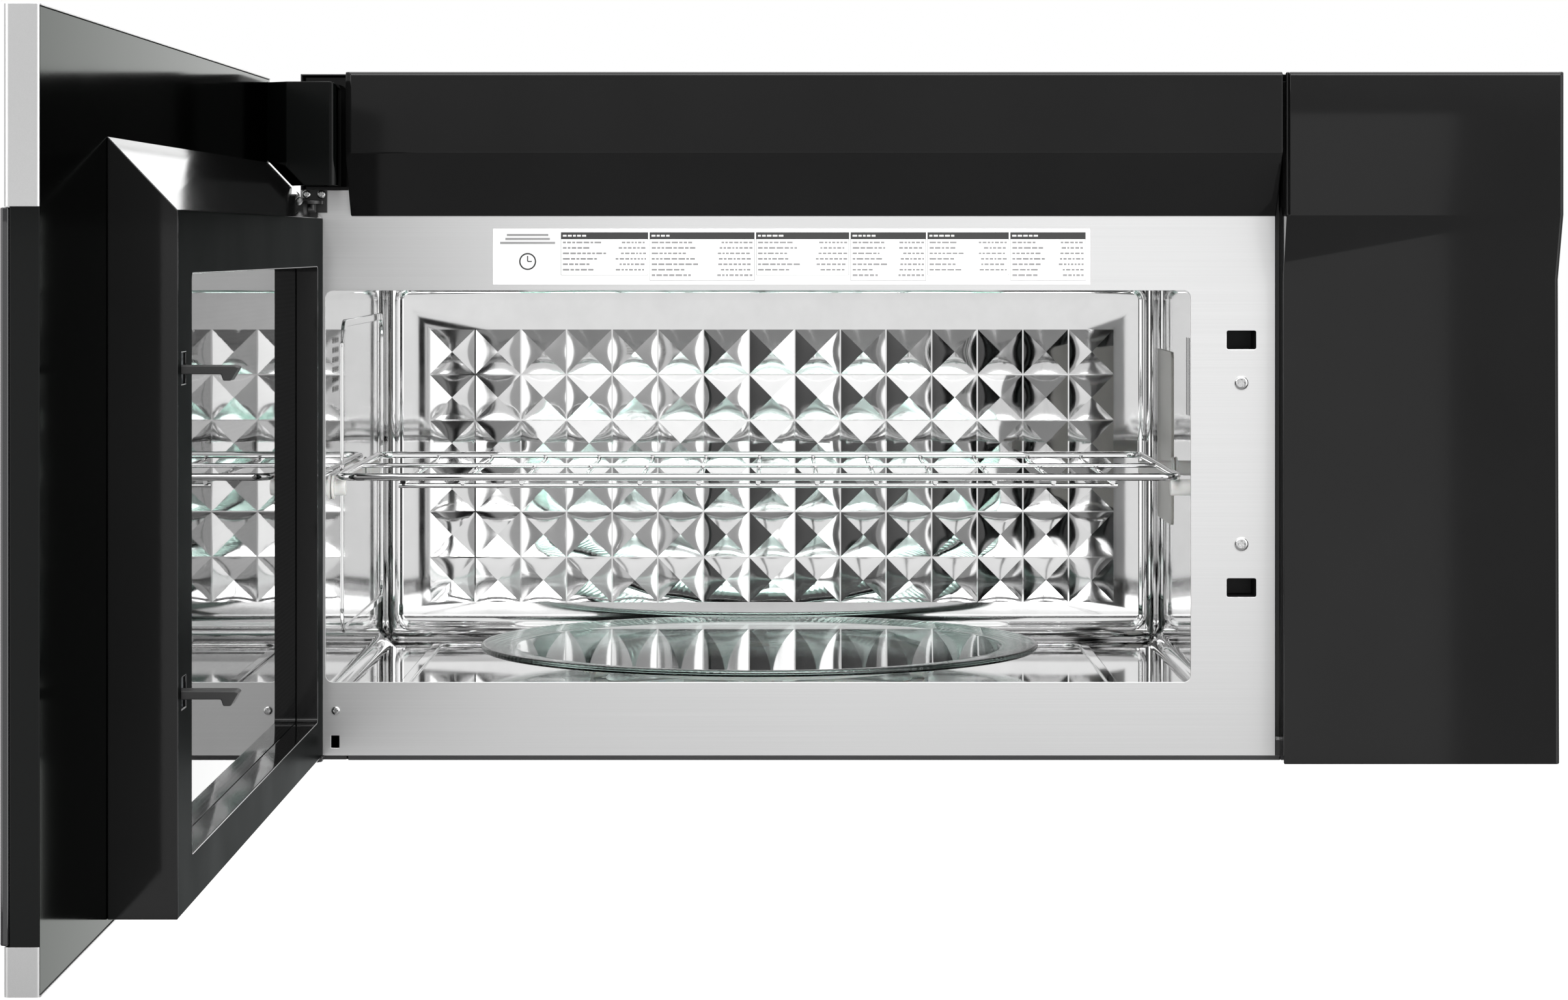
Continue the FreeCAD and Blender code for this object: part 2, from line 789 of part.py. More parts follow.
def waveguide_cover():
    y0, y1 = guide_span(0)
    sheet = soft_block(cavity_right - mica_sheet, cavity_right, y0, y1, guide_bottom + 4,
                       guide_top - 22, 5, (1, 0, 0))
    return sheet


def rack_supports():
    studs = []
    for x, direction, length in ((opening_left, 1, stud_length),
                                 (cavity_right, -1, stud_length + cavity_overhang)):
        for y in (rack_y0 + stud_inset, rack_y0 + rack_depth - stud_inset):
            z = rack_height - rack_wire - running_gap - stud_radius
            base = rod(stud_radius + 2.5, 2, (x, y, z), (direction, 0, 0))
            studs.append(base.fuse(rod(stud_radius, length, (x, y, z), (direction, 0, 0)))
                         .removeSplitter())
    return group(studs)


def wire_rack():
    x0, x1 = opening_left + rack_side_gap, opening_right - rack_side_gap
    y0, y1 = rack_y0, rack_y0 + rack_depth
    z, r, c = rack_height, rack_wire, rack_corner
    solids = [rod(r, x1 - x0 - 2 * c, (x0 + c, y, z), (1, 0, 0)) for y in (y0, y1)]
    solids += [rod(r, y1 - y0 - 2 * c, (x, y0 + c, z), (0, 1, 0)) for x in (x0, x1)]
    for x, y, turn in ((x1 - c, y1 - c, 0), (x0 + c, y1 - c, 90), (x0 + c, y0 + c, 180),
                       (x1 - c, y0 + c, 270)):
        bend = Part.makeTorus(c, r, Vector(x, y, z), Vector(0, 0, 1), 0, 360, 90)
        bend.rotate(Vector(x, y, z), Vector(0, 0, 1), turn)
        solids.append(bend)
    count = int((x1 - x0 - 2 * c) // rack_cross_pitch)
    run = y1 - y0 + 2 * rack_weld
    low = z - r - rack_cross_wire + rack_weld
    for x in spread(count, rack_cross_pitch, (x0 + x1) / 2):
        solids.append(rod(rack_cross_wire, run, (x, y0 - rack_weld, low), (0, 1, 0)))
    solids.append(rod(rack_cross_wire, x1 - x0, (x0, (y0 + y1) / 2, z), (1, 0, 0)))
    brace = low - 2 * rack_cross_wire + rack_weld
    half = (count - 1) / 2 * rack_cross_pitch + 2 * rack_cross_wire
    solids.append(rod(rack_cross_wire, 2 * half, ((x0 + x1) / 2 - half, y0 + rack_brace_back, brace),
                      (1, 0, 0)))
    return join(solids)


# ------------------------------------------------------------------ turntable
def glass_tray():
    z = tray_base
    t = tray_thickness
    rim_top = z + tray_rim_rise
    profile = [(0, z), (tray_base_radius, z), (tray_radius - 3, rim_top - t + 0.6),
               (tray_radius, rim_top - 1.6), (tray_radius - 0.4, rim_top),
               (tray_radius - 5, rim_top + 0.2), (tray_base_radius - 1, z + t), (0, z + t)]
    corners = [Vector(cavity_middle + x, tray_y, y) for x, y in profile]
    face = Part.Face(Part.makePolygon(corners + corners[:1]))
    dish = face.revolve(Vector(cavity_middle, tray_y, 0), Vector(0, 0, 1), 360)
    lugs = []
    for i in range(3):
        angle = math.radians(120 * i + 60)
        x = cavity_middle + (coupler_radius + 4) * math.cos(angle)
        y = tray_y + (coupler_radius + 4) * math.sin(angle)
        lugs.append(rod(2.5, 3.5, (x, y, z - 3.5), (0, 0, 1)))
    return dish.fuse(lugs).removeSplitter()


def turntable_coupler():
    z = tray_base
    hub = rod(coupler_radius * 0.6, 8.0, (cavity_middle, tray_y, z - 8), (0, 0, 1))
    solids = [hub]
    for i in range(3):
        arm = block(0, coupler_radius, -3, 3, z - 6, z)
        arm.rotate(Vector(0, 0, 0), Vector(0, 0, 1), 120 * i)
        arm.translate(Vector(cavity_middle, tray_y, 0))
        solids.append(arm)
    length = z - 8 - (cavity_floor_height - cavity_sheet - 12)
    solids.append(rod(shaft_radius, length, (cavity_middle, tray_y, z - 8), (0, 0, -1)))
    return join(solids)


def turntable_motor():
    high = cavity_floor_height - cavity_sheet
    place = (cavity_middle, tray_y, high - 20)
    can = rod(25, 18, place, (0, 0, 1))
    neck = rod(8, 2, (cavity_middle, tray_y, high - 2), (0, 0, 1))
    ears = block(cavity_middle - 34, cavity_middle + 34, tray_y - 7, tray_y + 7, high - 2, high)
    body = join([can, neck, ears])
    bore = rod(shaft_radius + shaft_fit, 12.5, (cavity_middle, tray_y, high - 12.5), (0, 0, 1))
    return body.cut(bore)


def roller_ring():
    z = roller_height
    rail = ring(roller_track - 8, roller_track - 13, 4, (cavity_middle, tray_y, z - 2), (0, 0, 1))
    hub = ring(roller_track - 60, roller_track - 64, 4, (cavity_middle, tray_y, z - 2), (0, 0, 1))
    solids = [rail, hub]
    for i in range(roller_count):
        angle = 360 / roller_count * i + 90
        spoke = block(roller_track - 61, roller_track - 9, -3, 3, z - 2, z + 2)
        axle = rod(1.5, roller_width + 10, (roller_track - 9, 0, z), (1, 0, 0))
        cap = rod(2.6, 1.5, (roller_track + roller_width / 2 + 0.6, 0, z), (1, 0, 0))
        for piece in (spoke, axle, cap):
            piece.rotate(Vector(0, 0, 0), Vector(0, 0, 1), angle)
            piece.translate(Vector(cavity_middle, tray_y, 0))
            solids.append(piece)
    return join(solids)


def roller(i):
    z = roller_height
    angle = 360 / roller_count * i + 90
    wheel = rod(roller_radius, roller_width, (roller_track - roller_width / 2, 0, z), (1, 0, 0))
    wheel = wheel.cut(rod(1.5 + shaft_fit, roller_width,
                          (roller_track - roller_width / 2, 0, z), (1, 0, 0)))
    wheel.rotate(Vector(0, 0, 0), Vector(0, 0, 1), angle)
    wheel.translate(Vector(cavity_middle, tray_y, 0))
    return wheel


# ------------------------------------------------------------------ hinges and latch
def hinge_bracket(tab_low, pin_up, leg):
    """A tab with its pin, on a leg that is screwed to the steel plate."""
    tab = rod(tab_radius, tab_sheet, (hinge_x, hinge_y, tab_low), (0, 0, 1))
    neck = block(hinge_x - tab_radius, hinge_x + tab_radius, hinge_y, leg.BoundBox.YMax,
                 tab_low, tab_low + tab_sheet)
    start = tab_low + tab_sheet if pin_up else tab_low
    pin = rod(pin_radius, pin_length, (hinge_x, hinge_y, start), (0, 0, 1 if pin_up else -1))
    return join([tab, neck, leg, pin])


def upper_hinge_bracket():
    leg = block(hinge_x - tab_radius, hinge_x + tab_radius + 2, plate_front - hinge_leg_sheet,
                plate_front, upper_tab_height - 5, upper_tab_height + 9)
    bracket = hinge_bracket(upper_tab_height, False, leg)
    for x, z in upper_leg_screws():
        bracket = bracket.cut(rod(1.7, hinge_leg_sheet, (x, plate_front - hinge_leg_sheet, z),
                                  (0, 1, 0)))
    return bracket


def lower_hinge_bracket():
    leg = block(hinge_x - tab_radius, leg_right(), plate_back, plate_back + hinge_leg_sheet,
                0.2, 38)
    bracket = hinge_bracket(0.2, True, leg)
    for x, z in lower_leg_screws():
        bracket = bracket.cut(rod(1.7, hinge_leg_sheet, (x, plate_back, z), (0, 1, 0)))
    return bracket.cut(block(hinge_slot_x(), hinge_slot_x() + 5, plate_back,
                             plate_back + hinge_leg_sheet, 7.4, 14.9))


def hinge_screws():
    lower = [screw(x, plate_front, z, (0, -1, 0), 2.6, 1.4, 1.6, plate_sheet + hinge_leg_sheet)
             for x, z in lower_leg_screws()]
    upper = [screw(x, plate_front - hinge_leg_sheet, z, (0, -1, 0), 2.6, 1.4, 1.6,
                   plate_sheet + hinge_leg_sheet)
             for x, z in upper_leg_screws()]
    return lower + upper


def latch_board():
    x0, x1 = slot_x - 15, slot_x + 13
    low, high = slot_heights[0] - 20, slot_heights[1] + 20
    board = block(x0, x1, plate_back, plate_back + 30, low, high)
    board = board.cut(block(x0 + 2.5, x1 - 2.5, plate_back + 2.5, plate_back + 30,
                            slot_heights[0] + 20, slot_heights[1] - 20))
    for z in slot_heights:
        board = board.cut(block(slot_x - slot_width / 2, slot_x + slot_width / 2, plate_back,
                                plate_back + 27, z - slot_height / 2, z + slot_height / 2))
    for z in plate_screw_heights:
        boss = rod(4.5, 9, (slot_x, plate_back, z), (0, 1, 0))
        board = board.fuse(boss).cut(rod(screw_radius, 9, (slot_x, plate_back, z), (0, 1, 0)))
    return board.removeSplitter()


def interlock_switches():
    x0 = slot_x + 13
    switches = []
    for z in (slot_heights[0] - 12, slot_heights[0] + 8, slot_heights[1] - 8):
        body = block(x0, x0 + 10, plate_back + 3, plate_back + 23, z, z + 16)
        pins = [block(x0 + 3, x0 + 7, plate_back + 23, plate_back + 29, z + dz, z + dz + 0.8)
                for dz in (3, 8, 13)]
        switches.append(join([body] + pins))
    return group(switches)


# ------------------------------------------------------------------ ventilation
def scroll_middles():
    return (-scroll_offset, scroll_offset)


def vent_blower_housing():
    t = 1.5
    housings = []
    for x in scroll_middles():
        x0, x1 = x - scroll_width / 2, x + scroll_width / 2
        neck_top = top - case_sheet
        y_axis = -blower_back
        outer = rod(scroll_radius, scroll_width, (x0, y_axis, blower_height), (1, 0, 0))
        neck0, neck1 = y_axis - scroll_radius, y_axis + scroll_radius
        outer = outer.fuse(block(x0, x1, neck0, neck1, blower_height, neck_top))
        inner = rod(scroll_radius - t, scroll_width - 2 * t, (x0 + t, y_axis, blower_height),
                    (1, 0, 0))
        inner = inner.fuse(block(x0 + t, x1 - t, neck0 + t, neck1 - t, blower_height, neck_top))
        shell = outer.cut(inner)
        shell = shell.cut(rod(blower_wheel_radius - 6, scroll_width,
                              (x0, y_axis, blower_height), (1, 0, 0)))
        housings.append(shell.removeSplitter())
    base = block(-scroll_offset - scroll_width / 2, scroll_offset + scroll_width / 2,
                 -blower_back - 30, -blower_back + 30, cavity_ceiling_height + cavity_sheet,
                 blower_height - scroll_radius + 2)
    for x in scroll_middles():
        base = base.cut(rod(scroll_radius - t, scroll_width - 2 * t,
                            (x - scroll_width / 2 + t, -blower_back, blower_height), (1, 0, 0)))
    return join(housings + [base])


def vent_blower_motor():
    half = blower_motor_length / 2
    place = (-half, -blower_back, blower_height)
    can = rod(blower_motor_radius, blower_motor_length, place, (1, 0, 0))
    foot = block(-half + 8, half - 8, -blower_back - 20, -blower_back + 20,
                 blower_height - scroll_radius + 2, blower_height - 20)
    bore = rod(blower_shaft_radius + shaft_fit, blower_motor_length, place, (1, 0, 0))
    return can.fuse(foot).removeSplitter().cut(bore)


def vent_blower_wheels():
    x_end = scroll_offset + blower_wheel_width / 2
    axis_place = (-x_end, -blower_back, blower_height)
    solids = [rod(blower_shaft_radius, 2 * x_end, axis_place, (1, 0, 0))]
    r, w = blower_wheel_radius, blower_wheel_width
    for x in scroll_middles():
        x0 = x - w / 2
        solids.append(rod(r - 1, 2, (x - 1, -blower_back, blower_height), (1, 0, 0)))
        for x_ring in (x0, x0 + w - 2):
            solids.append(ring(r, r - 8, 2, (x_ring, -blower_back, blower_height), (1, 0, 0)))
        for i in range(blower_blades):
            blade = block(x0, x0 + w, r - 8, r - 1, -0.6, 0.6)
            blade.rotate(Vector(0, r - 4, 0), Vector(1, 0, 0), 35)
            blade.rotate(Vector(0, 0, 0), Vector(1, 0, 0), 360 / blower_blades * i)
            blade.translate(Vector(0, -blower_back, blower_height))
            solids.append(blade)
    return join(solids)


def exhaust_adapter():
    x0, x1 = -collar_width / 2, collar_width / 2
    y0, y1 = collar_y0, collar_y1
    t = collar_sheet
    wall = block(x0 - t, x1 + t, y0 - t, y1 + t, top, top + collar_height)
    wall = wall.cut(block(x0, x1, y0, y1, top, top + collar_height))
    flange = block(x0 - collar_flange, x1 + collar_flange, y0 - collar_flange,
                   min(y1 + collar_flange, rear_front), top, top + t)
    flange = flange.cut(block(x0, x1, y0, y1, top, top + t))
    lugs = []
    for x in (x0, x1 - 3):
        lugs.append(block(x, x + 3, flap_y - 3, flap_y + 3, flap_z - 3, flap_z + 3))
    adapter = join([wall, flange] + lugs)
    return adapter.cut(rod(flap_pin_radius + shaft_fit, collar_width + 4,
                           (x0 - 2, flap_y, flap_z), (1, 0, 0)))


def damper_flap():
    x0, x1 = -collar_width / 2 + 3 + seam, collar_width / 2 - 3 - seam
    sheet = block(x0, x1, collar_y0 + 1, flap_y, flap_z - flap_sheet / 2,
                  flap_z + flap_sheet / 2)
    barrel = rod(flap_barrel_radius, x1 - x0, (x0, flap_y, flap_z), (1, 0, 0))
    pin = rod(flap_pin_radius, collar_width, (-collar_width / 2, flap_y, flap_z), (1, 0, 0))
    return join([sheet, barrel, pin])


def grease_filter(x):
    x0, x1 = x - filter_width / 2, x + filter_width / 2
    y0, y1 = -filter_back - filter_depth / 2, -filter_back + filter_depth / 2
    rim = soft_block(x0, x1, y0, y1, 0.2, filter_height, 4, (0, 0, 1))
    rim = rim.cut(block(x0 + filter_frame, x1 - filter_frame, y0 + filter_frame,
                        y1 - filter_frame, 0.2, filter_height))
    solids = [rim]
    pitch = (filter_width - 2 * filter_frame) / filter_slats
    for i in range(1, filter_slats):
        xs = x0 + filter_frame + i * pitch
        solids.append(block(xs - 1.5, xs + 1.5, y0 + 2, y1 - 2, 2, 4))
    for i in range(1, 8):
        ys = y0 + filter_frame + i * (filter_depth - 2 * filter_frame) / 8
        solids.append(block(x0 + 2, x1 - 2, ys - 1.5, ys + 1.5, 3.5, 5.5))
    return join(solids)


def cooktop_lamps():
    lamps = []
    for x in (-lamp_lens_offset, lamp_lens_offset):
        board = block(x - 30, x + 30, lamp_lens_y - 14, lamp_lens_y + 14, 10, 12)
        chips = [rod(chip_radius, 1.2, (x + dx, lamp_lens_y, 8.8), (0, 0, 1))
                 for dx in (-18, 0, 18)]
        posts = [rod(2.5, 7, (x + dx, lamp_lens_y, lamp_rim), (0, 0, 1)) for dx in (-27, 27)]
        lamps.append(join([board] + chips + posts))
    return group(lamps)


def cooktop_lamp_covers():
    covers = []
    for x in (-lamp_lens_offset, lamp_lens_offset):
        y = lamp_lens_y
        half_w, half_d = lamp_lens_width / 2 - seam, lamp_lens_depth / 2 - seam
        lens = block(x - half_w, x + half_w, y - half_d, y + half_d, 0, base_sheet)
        rim = block(x - half_w - lamp_rim, x + half_w + lamp_rim, y - half_d - lamp_rim,
                    y + half_d + lamp_rim, base_sheet, lamp_rim)
        covers.append(lens.fuse(rim).removeSplitter())
    return group(covers)


def cavity_lamp():
    x1 = opening_left - cavity_sheet
    x0 = x1 - lamp_board_gap
    y, z, half = plate_front + lamp_back, lamp_height, lamp_board_half
    board = block(x0 - lamp_board_sheet, x0, y - half, y + half, z - half, z + half)
    legs = [block(x0, x1, y + dy, y + dy + 3, z - half, z + half) for dy in (-half, half - 3)]
    chips = [rod(chip_radius, 1.5, (x0, y + dy, z), (1, 0, 0)) for dy in (-10, 0, 10)]
    return join([board] + legs + chips)


# ------------------------------------------------------------------ high voltage side
def waveguide():
    x0, x1 = cavity_right + cavity_sheet, cavity_right + cavity_sheet + guide_depth
    y0, y1 = guide_span(0)
    t = guide_sheet
    duct = block(x0, x1, y0, y1, guide_bottom, guide_top)
    duct = duct.cut(block(x0, x1 - t, y0 + t, y1 - t, guide_bottom + t, guide_top - t))
    hole = rod(13, t, (x1 - t, (y0 + y1) / 2, magnetron_middle()), (1, 0, 0))
    return duct.cut(hole)


def magnetron_middle():
    return guide_top - magnetron_height / 2 + 6


def magnetron():
    x0 = cavity_right + cavity_sheet + guide_depth
    y = sum(guide_span(0)) / 2
    z = magnetron_middle()
    half_w, half_h = magnetron_width / 2, magnetron_height / 2
    plate = block(x0, x0 + 3, y - half_w, y + half_w, z - half_h, z + half_h)
    antenna = rod(8, 22, (x0 - 20, y, z), (1, 0, 0))
    rims = [block(x0 + 3, x0 + magnetron_length, y + s * half_w - (2 if s > 0 else 0),
                  y + s * half_w + (0 if s > 0 else 2), z - half_h, z + half_h)
            for s in (-1, 1)]
    core = rod(20, magnetron_length - 6, (x0 + 3, y, z), (1, 0, 0))
    fins = [block(x0 + 22 + 7 * i, x0 + 23.2 + 7 * i, y - half_w + 1, y + half_w - 1,
                  z - half_h + 6, z + half_h - 6) for i in range(6)]
    back = block(x0 + magnetron_length - 3, x0 + magnetron_length, y - half_w, y + half_w,
                 z - half_h, z + half_h)
    socket = block(x0 + magnetron_length, x0 + magnetron_length + 14, y - 14, y + 14,
                   z - 30, z - 8)
    return join([plate, antenna, core, back, socket] + rims + fins)


def fan_place():
    return right - 84, -40.0, 118.0


def magnetron_fan_housing():
    x, y, z = fan_place()
    half = fan_radius + 8
    plate = block(x - half, x + half, y - 3, y, z - half, z + half)
    shroud = ring(fan_radius + 4, fan_radius + 2, 22, (x, y - 22, z), (0, 1, 0))
    plate = plate.cut(rod(fan_radius + 2, 3, (x, y - 3, z), (0, 1, 0)))
    arms = [block(x - half, x + half, y, y + 3, z - 5, z + 5),
            block(x - 5, x + 5, y, y + 3, z - half, z + half)]
    legs = [block(x + s * half - 6, x + s * half + 6, y - 3, y + 3, base_sheet, z - half + 8)
            for s in (-0.8, 0.8)]
    frame = join([plate, shroud] + arms + legs)
    return frame.cut(rod(14, 4, (x, y - 0.5, z), (0, 1, 0)))


def magnetron_fan_motor():
    x, y, z = fan_place()
    can = rod(22, 30, (x, y + 3, z), (0, 1, 0))
    return can.cut(rod(shaft_radius + shaft_fit, 20, (x, y + 3, z), (0, 1, 0)))


def magnetron_fan_wheel():
    x, y, z = fan_place()
    hub = rod(12, 16, (x, y - 18, z), (0, 1, 0))
    shaft = rod(shaft_radius, 20, (x, y - 2, z), (0, 1, 0))
    solids = [hub, shaft]
    for i in range(fan_blades):
        blade = block(10, fan_radius, -1, 1, -11, 11)
        blade.rotate(Vector(0, 0, 0), Vector(1, 0, 0), 90 - 32)
        blade.rotate(Vector(0, 0, 0), Vector(0, 1, 0), 360 / fan_blades * i)
        blade.translate(Vector(x, y - 10, z))
        solids.append(blade)
    return join(solids)


def transformer_place():
    return right - 72.0, -330.0, base_sheet


def transformer_core():
    x, y, z = transformer_place()
    foot = block(x - core_width / 2 - 14, x + core_width / 2 + 14, y - core_depth / 2,
                 y + core_depth / 2, z, z + 2)
    core = block(x - core_width / 2, x + core_width / 2, y - core_depth / 2 + 16,
                 y + core_depth / 2 - 16, z + 2, z + core_height)
    for side in (-1, 1):
        xs = x + side * core_width / 4
        core = core.cut(block(xs - 10, xs + 10, y - core_depth / 2, y + core_depth / 2,
                              z + 16, z + core_height - 14))
    return foot.fuse(core).removeSplitter()


def transformer_windings():
    x, y, z = transformer_place()
    coils = []
    for z0, high in ((z + 17, 18), (z + 37, 20)):
        coil = soft_block(x - core_width / 4 - 9, x + core_width / 4 + 9, y - core_depth / 2 + 2,
                          y + core_depth / 2 - 2, z0, z0 + high, 6, (0, 0, 1))
        coil = coil.cut(block(x - core_width / 4 + 10, x + core_width / 4 - 10,
                              y - core_depth / 2 + 16, y + core_depth / 2 - 16, z0, z0 + high))
        coils.append(coil)
    return group(coils)


def high_voltage_capacitor():
    x, y = right - 60.0, -232.0
    z = base_sheet + 3 + capacitor_radius
    y0 = y - capacitor_length / 2
    can = rod(capacitor_radius, capacitor_length, (x, y0, z), (0, 1, 0))
    pins = [block(x - 10, x - 9, y0 - 10, y0, z - 3, z + 3),
            block(x + 9, x + 10, y0 - 10, y0, z - 3, z + 3)]
    strap = ring(capacitor_radius + 2, capacitor_radius, 14, (x, y - 7, z), (0, 1, 0))
    foot = block(x - 34, x + 34, y - 7, y + 7, base_sheet, base_sheet + 2)
    return join([can, strap, foot] + pins)


def relay_board():
    y = plate_back + relay_board_in
    x0, x1 = panel_left + relay_board_margin, right - relay_board_margin
    low = middle - relay_board_height / 2 + 12
    step = (x1 - x0) / 10
    solids = [block(x0, x1, y, y + board_sheet, low, low + relay_board_height)]
    for dx, wide, dz in ((1, 2.2, 20), (4, 2.2, 20), (7, 2, 20), (1, 3, 70), (5, 3.6, 84)):
        solids.append(block(x0 + dx * step, x0 + (dx + wide) * step, y + board_sheet, y + 20,
                            low + dz, low + dz + 24))
    for x in (x0 + 2, x1 - 8):
        for z in (low + 4, low + relay_board_height - 10):
            solids.append(block(x, x + 6, panel_inside(z + 6) + 0.1, y, z, z + 6))
    return join(solids)


def panel_inside(z):
    """Depth of the right fascia's inner face behind its lower zone, at a height."""
    zone = top - panel_high_height - panel_slope_height
    lean = (panel_foot_proud - panel_low_proud) / zone
    return plate_front - panel_foot_proud + lean * z + plastic_wall * math.hypot(1, lean)


def noise_filter_board():
    z = top - case_sheet - 18
    x, y = right - 90.0, -210.0
    board = block(x - 45, x + 45, y - 35, y + 35, z, z + board_sheet)
    coil = ring(16, 8, 14, (x - 20, y, z - 14), (0, 0, 1))
    fuse = rod(4, 30, (x + 6, y + 16, z - 3.6), (1, 0, 0))
    cube = block(x + 10, x + 34, y - 22, y - 6, z - 18, z)
    high = top - case_sheet
    posts = [rod(3, high - z - board_sheet, (x + dx, y + dy, z + board_sheet), (0, 0, 1))
             for dx in (-40, 40) for dy in (-30, 30)]
    return join([board, coil, cube, fuse] + posts)


def cord_bushing():
    x, y, z = cord_place
    r = cord_hole_radius
    collar = ring(r, 7, 8, (x, y, z - 3), (0, 0, 1))
    upper = ring(r + 3, 7, 2.5, (x, y, z + case_sheet), (0, 0, 1))
    lower = ring(r + 3, 7, 2.5, (x, y, z - 3), (0, 0, 1))
    return join([collar, upper, lower])


# ------------------------------------------------------------------ door, drawn closed
def box_outline(back, front):
    """Side view of the thick inner box between two planes."""
    span = box_face - front
    rise = box_chamfer_rise / (box_face - skin_back)
    return [(back, box_bottom), (front, box_bottom), (front, box_top + span * rise),
            (back, box_top + (box_face - back) * rise)]


def door_pocket():
    """Room in the door's box for the upper hinge tab, and for both pins."""
    tab = rod(tab_radius + 2.6, 80, (hinge_x, hinge_y, upper_tab_height - 1), (0, 0, 1))
    low = rod(pin_radius + 0.6, 30, (hinge_x, hinge_y, box_bottom - 1), (0, 0, 1))
    high = rod(pin_radius + 0.6, 40, (hinge_x, hinge_y, upper_tab_height - 20), (0, 0, 1))
    return [tab, low, high]


def hook_holes(y0, y1):
    """Slots in the door's inner face that the latch hooks slide in."""
    return [block(slot_x - hook_width / 2 - 1, slot_x + hook_width / 2 + 1, y0, y1,
                  z - 6.4, z + 6.4 + hook_travel / 2) for z in slot_heights]


def window_hole(margin, y0, y1):
    return soft_block(window_left + margin, window_right - margin, y0, y1,
                      window_bottom + margin, window_top - margin, window_corner, (0, 1, 0))


def door_choke_cover():
    outline = box_outline(box_face, skin_back)
    solid = side_prism(outline, box_left, box_right)
    hollow = inset(outline, [door_wall, 0, door_wall, door_wall])
    solid = solid.cut(side_prism(hollow, box_left + door_wall, box_right - door_wall))
    recess = window_hole(-door_wall, glass_face, box_face - door_wall)
    recess = recess.cut(window_hole(0, glass_face, box_face - door_wall))
    solid = solid.cut(window_hole(0, box_face - door_wall, box_face)).fuse(recess)
    solid = solid.cut(door_pocket() + hook_holes(box_face - door_wall - 1, box_face + 1))
    return solid.removeSplitter()


def door_inner_window():
    return window_hole(-window_lap, screen_plane, glass_face)


def door_screen_mesh():
    return block(window_left - screen_lap, window_right + screen_lap, screen_plane - screen_sheet,
                 screen_plane, window_bottom - screen_lap, window_top + screen_lap)


def hinge_bush_blocks(clear):
    """The blocks that the hinge pins turn in, larger by a clearance."""
    x0, x1 = box_left + door_wall - clear, hinge_x + 12 + clear
    y1 = box_face - door_wall + clear
    y0 = hinge_y - 9 - clear
    low = block(x0, x1, y0, y1, box_bottom + door_wall - clear, box_bottom + door_wall
                + bush_depth + clear)
    high_top = upper_tab_height - 10.5
    high = block(x0, x1, y0, y1, high_top - bush_depth - clear, high_top + clear)
    return low, high


def door_hinge_bushes():
    bushes = []
    for bush in hinge_bush_blocks(0):
        hole = rod(pin_radius + pin_fit, bush.BoundBox.ZLength,
                   (hinge_x, hinge_y, bush.BoundBox.ZMin), (0, 0, 1))
        bushes.append(bush.cut(hole))
    return group(bushes)


def door_frame():
    y1 = box_face - door_wall
    y0 = skin_back
    x0, x1 = box_left + door_wall, box_right - door_wall
    z0, z1 = box_bottom + door_wall, box_top - door_wall
    t = frame_sheet
    outer = block(x0, x1, y0, y1, z0, z1).cut(window_hole(-2, y0, y1))
    hollow = block(x0 + t, x1 - t, y0, y1 - t, z0 + t, z1 - t).cut(window_hole(-2 - t, y0, y1 - t))
    channel = outer.cut(hollow)
    lap = screen_lap + 1
    room = block(window_left - lap, window_right + lap, y0, glass_face, window_bottom - lap,
                 window_top + lap)
    cuts = list(hinge_bush_blocks(seam)) + door_pocket() + hook_holes(y1 - 2, y1 + 1) + [room]
    return channel.cut(cuts).fuse(spring_seat()).removeSplitter()


def housing_outline(front, lift, wall):
    """Side view of the hinge housing, from the door's skin back into the body's well."""
    rise = box_chamfer_rise / (box_face - skin_back)
    back = hinge_y + housing_back - wall
    foot = plate_top + housing_foot_gap + wall
    high = door_top - housing_top_gap - wall
    low = box_top + (box_face - front) * rise + lift + 1.5 * wall
    return [(front, low), (front + (low - foot) / rise, foot), (back, foot), (back, high),
            (front, high)]


def hinge_housing(wall):
    """The bulge at the door's hinge end that fills the well, its two front sides bevelled."""
    x0 = hinge_x - housing_end + wall
    x1 = hinge_x + housing_shoulder
    x2 = hinge_x + housing_reach - wall
    wide = housing_outline(skin_back, housing_chamfer_gap, wall)
    narrow = housing_outline(skin_back + housing_bevel, housing_face_gap, wall)
    return side_prism(wide, x0, x1).fuse(frustum(wide, x1, narrow, x2)).removeSplitter()


def frustum(first, x0, second, x1):
    """A solid between two (y, z) outlines with the same number of corners."""
    near = [Vector(x0, y, z) for y, z in first]
    far = [Vector(x1, y, z) for y, z in second]
    faces = [Part.Face(Part.makePolygon(line + line[:1])) for line in (near, far)]
    for i, corner in enumerate(near):
        j = (i + 1) % len(near)
        faces.append(Part.Face(Part.makePolygon([corner, near[j], far[j], far[i], corner])))
    return Part.makeSolid(Part.makeShell(faces))


def housing_soft_edge(edge):
    """The housing's upright rear edge and its top rear edge."""
    back = hinge_y + housing_back
    high = door_top - housing_top_gap
    points = [vertex.Point for vertex in edge.Vertexes]
    at_back = all(abs(point.y - back) < 1e-6 for point in points)
    upright = all(abs(point.x - hinge_x - housing_reach) < 1e-6 for point in points)
    at_top = all(abs(point.z - high) < 1e-6 for point in points)
    return at_back and (upright or at_top)


